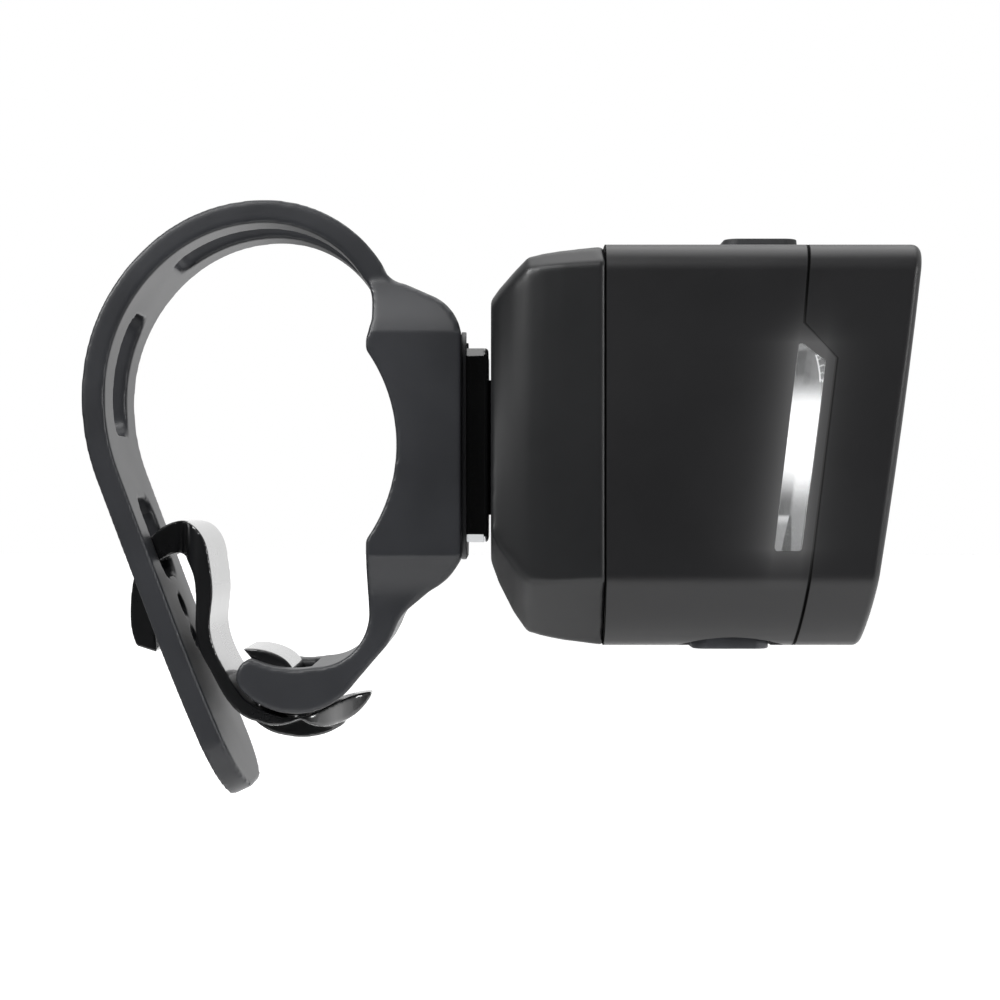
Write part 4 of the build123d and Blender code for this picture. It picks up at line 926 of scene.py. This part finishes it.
class LIGHT_OT_port(bpy.types.Operator):
    """Charging port with its rubber flap, and the control board"""
    bl_idname = "light.port"
    bl_label = "Port and board"

    def execute(self, context):
        dress("port_cover", "port_flap", moulded("flap rubber", 60, 0.5), 0.2)
        plated = machined("plated steel", (0.55, 0.55, 0.57), 0.24, lay=(9.0, 9.0, 1.0))
        dress("usb_port", "port_shell", plated, 0.05)
        finish_node("control_board", self.mask())
        return {"FINISHED"}

    def mask(self):
        """Green solder mask over tracks and weave, with bare pads."""
        board = Finish("green mask", (0.012, 0.09, 0.035), 0.34)
        weave = board.noise(0.3, 1.0, stretch=(1.0, 1.0, 4.0))
        track = abs(board.noise(3.0, 0.0, stretch=(1.0, 2.0, 1.0)) - 0.5).step(0.03, 0.015)
        pads = board.cells(2.6).step(0.2, 0.16)
        green = board.blend(track, (0.01, 0.075, 0.03), (0.03, 0.17, 0.06))
        board.put("Base Color", board.blend(pads, green, (0.45, 0.42, 0.38)))
        board.put("Roughness", weave * 0.12 + 0.28)
        board.put("Metallic", pads * 0.9)
        board.relief(track + weave * 0.3, 0.03)
        return board.material


class LIGHT_OT_power(bpy.types.Operator):
    """Battery, its foam pad and its leads"""
    bl_idname = "light.power"
    bl_label = "Battery"

    def execute(self, context):
        dress("battery_pack", "cell_pack", self.wrap(), 0.2)
        finish_node("battery_foam", self.foam())
        finish_node("battery_leads", self.cover())
        return {"FINISHED"}

    def wrap(self):
        """Creased blue film round the cell."""
        film = Finish("cell wrap", (0.1, 0.13, 0.24), 0.35, Metallic=0.4)
        crease, fine = film.noise(4.0, 4.0), film.noise(0.3)
        film.put("Base Color", film.blend(crease, (0.07, 0.1, 0.2), (0.13, 0.17, 0.3)))
        film.put("Roughness", crease * 0.2 + fine * 0.1 + 0.22)
        film.relief(crease, 0.08)
        return film.material

    def foam(self):
        """Grey foam with open pores."""
        foam = Finish("pad foam", grey(95), 0.95)
        pores = foam.cells(0.35)
        foam.put("Base Color", foam.blend(pores.step(0.1, 0.5), grey(60), grey(112)))
        foam.put("Roughness", pores * 0.1 + 0.88)
        foam.relief(pores, 0.12)
        return foam.material

    def cover(self):
        """Red silicone of the leads."""
        silicone = Finish("lead cover", (0.42, 0.02, 0.015), 0.4)
        ribs = silicone.noise(0.6)
        colours = silicone.blend(ribs, (0.34, 0.012, 0.01), (0.5, 0.03, 0.02))
        silicone.put("Base Color", colours)
        silicone.put("Roughness", ribs * 0.2 + 0.32)
        silicone.relief(ribs, 0.02)
        return silicone.material


class LIGHT_OT_stage(bpy.types.Operator):
    """Floor, backdrop, lamps and camera"""
    bl_idname = "light.stage"
    bl_label = "Stage"

    def execute(self, context):
        low, high = (Vector(corner) for corner in CAD_BOX)
        middle = (low + high) / 2
        self.floor(settings().stage, middle)
        self.lamps(middle)
        self.world()
        self.camera()
        bpy.context.scene.view_settings.view_transform = "Standard"
        return {"FINISHED"}

    def floor(self, looks, middle):
        """Floor of bright paper that ends in front of the light."""
        side, front, low = 3.0, -0.14, looks.floor
        mesh = bpy.data.meshes.new("floor")
        corners = [(-side, front, low), (side, front, low), (side, side, low), (-side, side, low)]
        mesh.from_pydata(corners, [], [(0, 1, 2, 3)])
        floor = bpy.data.objects.new("floor", mesh)
        bpy.context.scene.collection.objects.link(floor)
        mesh.materials.append(self.paper(looks, middle))

    def paper(self, looks, middle):
        """Paper, painted darker on the strap's side as painted shade for the light's faces there,
        and darker to the camera near the light as a painted shadow; it shows the camera a white of
        its own further out.
        """
        paper = Finish("paper", tuple(looks.paper), 0.9)
        x, y, _ = paper.split(paper.place())
        across = x - middle.x
        distance = (across * across + y * y).power(0.5)
        # painted shade: the paper darkens on the strap's side, a dark sheet that shades the light's
        # lower left faces; the camera gets white there
        dim = across.step(-0.03, -0.1)
        shade = tuple(part * looks.shade for part in looks.paper)
        base = paper.blend(dim, tuple(looks.paper), shade)
        seen = paper.ray("Is Camera Ray")
        # painted shadow: to the camera the paper near the light darkens by the shadow tone, as a
        # soft grey patch
        under = distance.step(0.2, 0.0) * (1.0 - dim) * looks.ground
        paper.put("Base Color", paper.blend(seen * under, base, (0.0, 0.0, 0.0)))
        paper.put("Roughness", paper.noise(1.5, 3.0) * 0.1 + 0.85)
        own = (distance.step(0.06, 0.14) * 0.9 + 0.1) * looks.back
        # mirrors see no white on the strap's side, which keeps the painted shade in their
        # reflections
        paper.glow(paper.mirrored() * (1.0 - dim) * own + seen * (own + dim * 0.6))
        return paper.material

    def lamps(self, middle):
        """Soft boxes turned to the light's middle; places and sides in metres, power in watts."""
        for name, place, side, power in (
            ("top box", (0.02, 0.05, 0.45), 0.5, 1.6),
            ("left box", (-0.34, -0.30, 0.26), 0.14, 1.8),
            ("front box", (-0.10, -0.36, 0.30), 0.2, 0.9),
            ("right box", (0.42, -0.3, 0.06), 0.09, 0.6),
        ):
            lamp = bpy.data.lights.new(name, "AREA")
            lamp.shape = "SQUARE"
            lamp.size = side
            lamp.energy = power
            stand = bpy.data.objects.new(name, lamp)
            stand.location = place
            stand.rotation_mode = "QUATERNION"
            stand.rotation_quaternion = (middle - Vector(place)).to_track_quat("-Z", "Y")
            bpy.context.scene.collection.objects.link(stand)

    def world(self):
        """Bright paper behind and above the light, and a dim room in front of it."""
        world = bpy.data.worlds.new("studio")
        bpy.context.scene.world = world
        world.use_nodes = True
        sky = Board(world.node_tree)
        x, y, z = sky.split(sky.node("ShaderNodeTexCoord", out="Generated"))
        paper, room = 0.95, 0.02
        lit = (y * 0.75 + x * 0.5 + z * 0.25).step(-0.25, 0.6) * (paper - room) + room
        behind = y.step(0.5, 0.9) * (x * 0.8 + z * 0.3).step(-0.5, -0.2)
        white = sky.ray("Is Camera Ray").high(sky.mirrored() * behind)
        values = {"Color": (1.0, 1.0, 1.0), "Strength": white + lit * (1.0 - white)}
        sky.show("ShaderNodeOutputWorld", sky.node("ShaderNodeBackground", None, values))

    def camera(self):
        """Camera where the picture was taken, level and square to the light's side."""
        lens = bpy.data.cameras.new("camera")
        lens.lens, lens.sensor_width = 80.8, 36.0
        lens.clip_start, lens.clip_end = 0.01, 20.0
        camera = bpy.data.objects.new("camera", lens)
        camera.location = (0.0285, -0.25, -0.00588)
        camera.rotation_euler = (math.radians(90), 0, 0)
        bpy.context.scene.collection.objects.link(camera)
        bpy.context.scene.camera = camera


class LIGHT_PT_panel(bpy.types.Panel):
    """Makes the light's pieces one by one"""
    bl_idname = "LIGHT_PT_panel"
    bl_label = "Handlebar light"
    bl_space_type = "VIEW_3D"
    bl_region_type = "UI"
    bl_category = "Bike light"

    def draw(self, context):
        for maker in MAKERS:
            self.layout.operator(maker.bl_idname)
        for group in LightLooks.__annotations__:
            looks = getattr(settings(), group)
            for name in looks.__annotations__:
                self.layout.prop(looks, name)


class LightLooks(bpy.types.PropertyGroup):
    """All looks, one group for each part of the light"""
    strap: bpy.props.PointerProperty(type=StrapLooks, name="Strap", description="Strap and hook")
    dock: bpy.props.PointerProperty(type=DockLooks, name="Dock", description="Dock and foot")
    screw: bpy.props.PointerProperty(type=ScrewLooks, name="Screws", description="Screws")
    shell: bpy.props.PointerProperty(type=ShellLooks, name="Shell", description="Head of the light")
    lamp: bpy.props.PointerProperty(type=LampLooks, name="Lamp", description="Emitters, windows")
    stage: bpy.props.PointerProperty(type=StageLooks, name="Stage", description="Floor and light")


MAKERS = (
    LIGHT_OT_strap, LIGHT_OT_hook, LIGHT_OT_dock, LIGHT_OT_screws, LIGHT_OT_shells,
    LIGHT_OT_windows, LIGHT_OT_lamp, LIGHT_OT_button, LIGHT_OT_port, LIGHT_OT_power,
    LIGHT_OT_stage,
)
CLASSES = (
    StrapLooks, DockLooks, ScrewLooks, ShellLooks, LampLooks, StageLooks, LightLooks, *MAKERS,
    LIGHT_PT_panel,
)


def register():
    """Add the looks, the makers and the panel to Blender."""
    for kind in CLASSES:
        bpy.utils.register_class(kind)
    bpy.types.Scene.bike_light = bpy.props.PointerProperty(type=LightLooks)


def unregister():
    """Take them out again."""
    del bpy.types.Scene.bike_light
    for kind in reversed(CLASSES):
        bpy.utils.unregister_class(kind)


def main():
    """Make every piece in order."""
    register()
    for maker in MAKERS:
        group, name = maker.bl_idname.split(".")
        getattr(getattr(bpy.ops, group), name)()


if __name__ == "__main__":
    main()
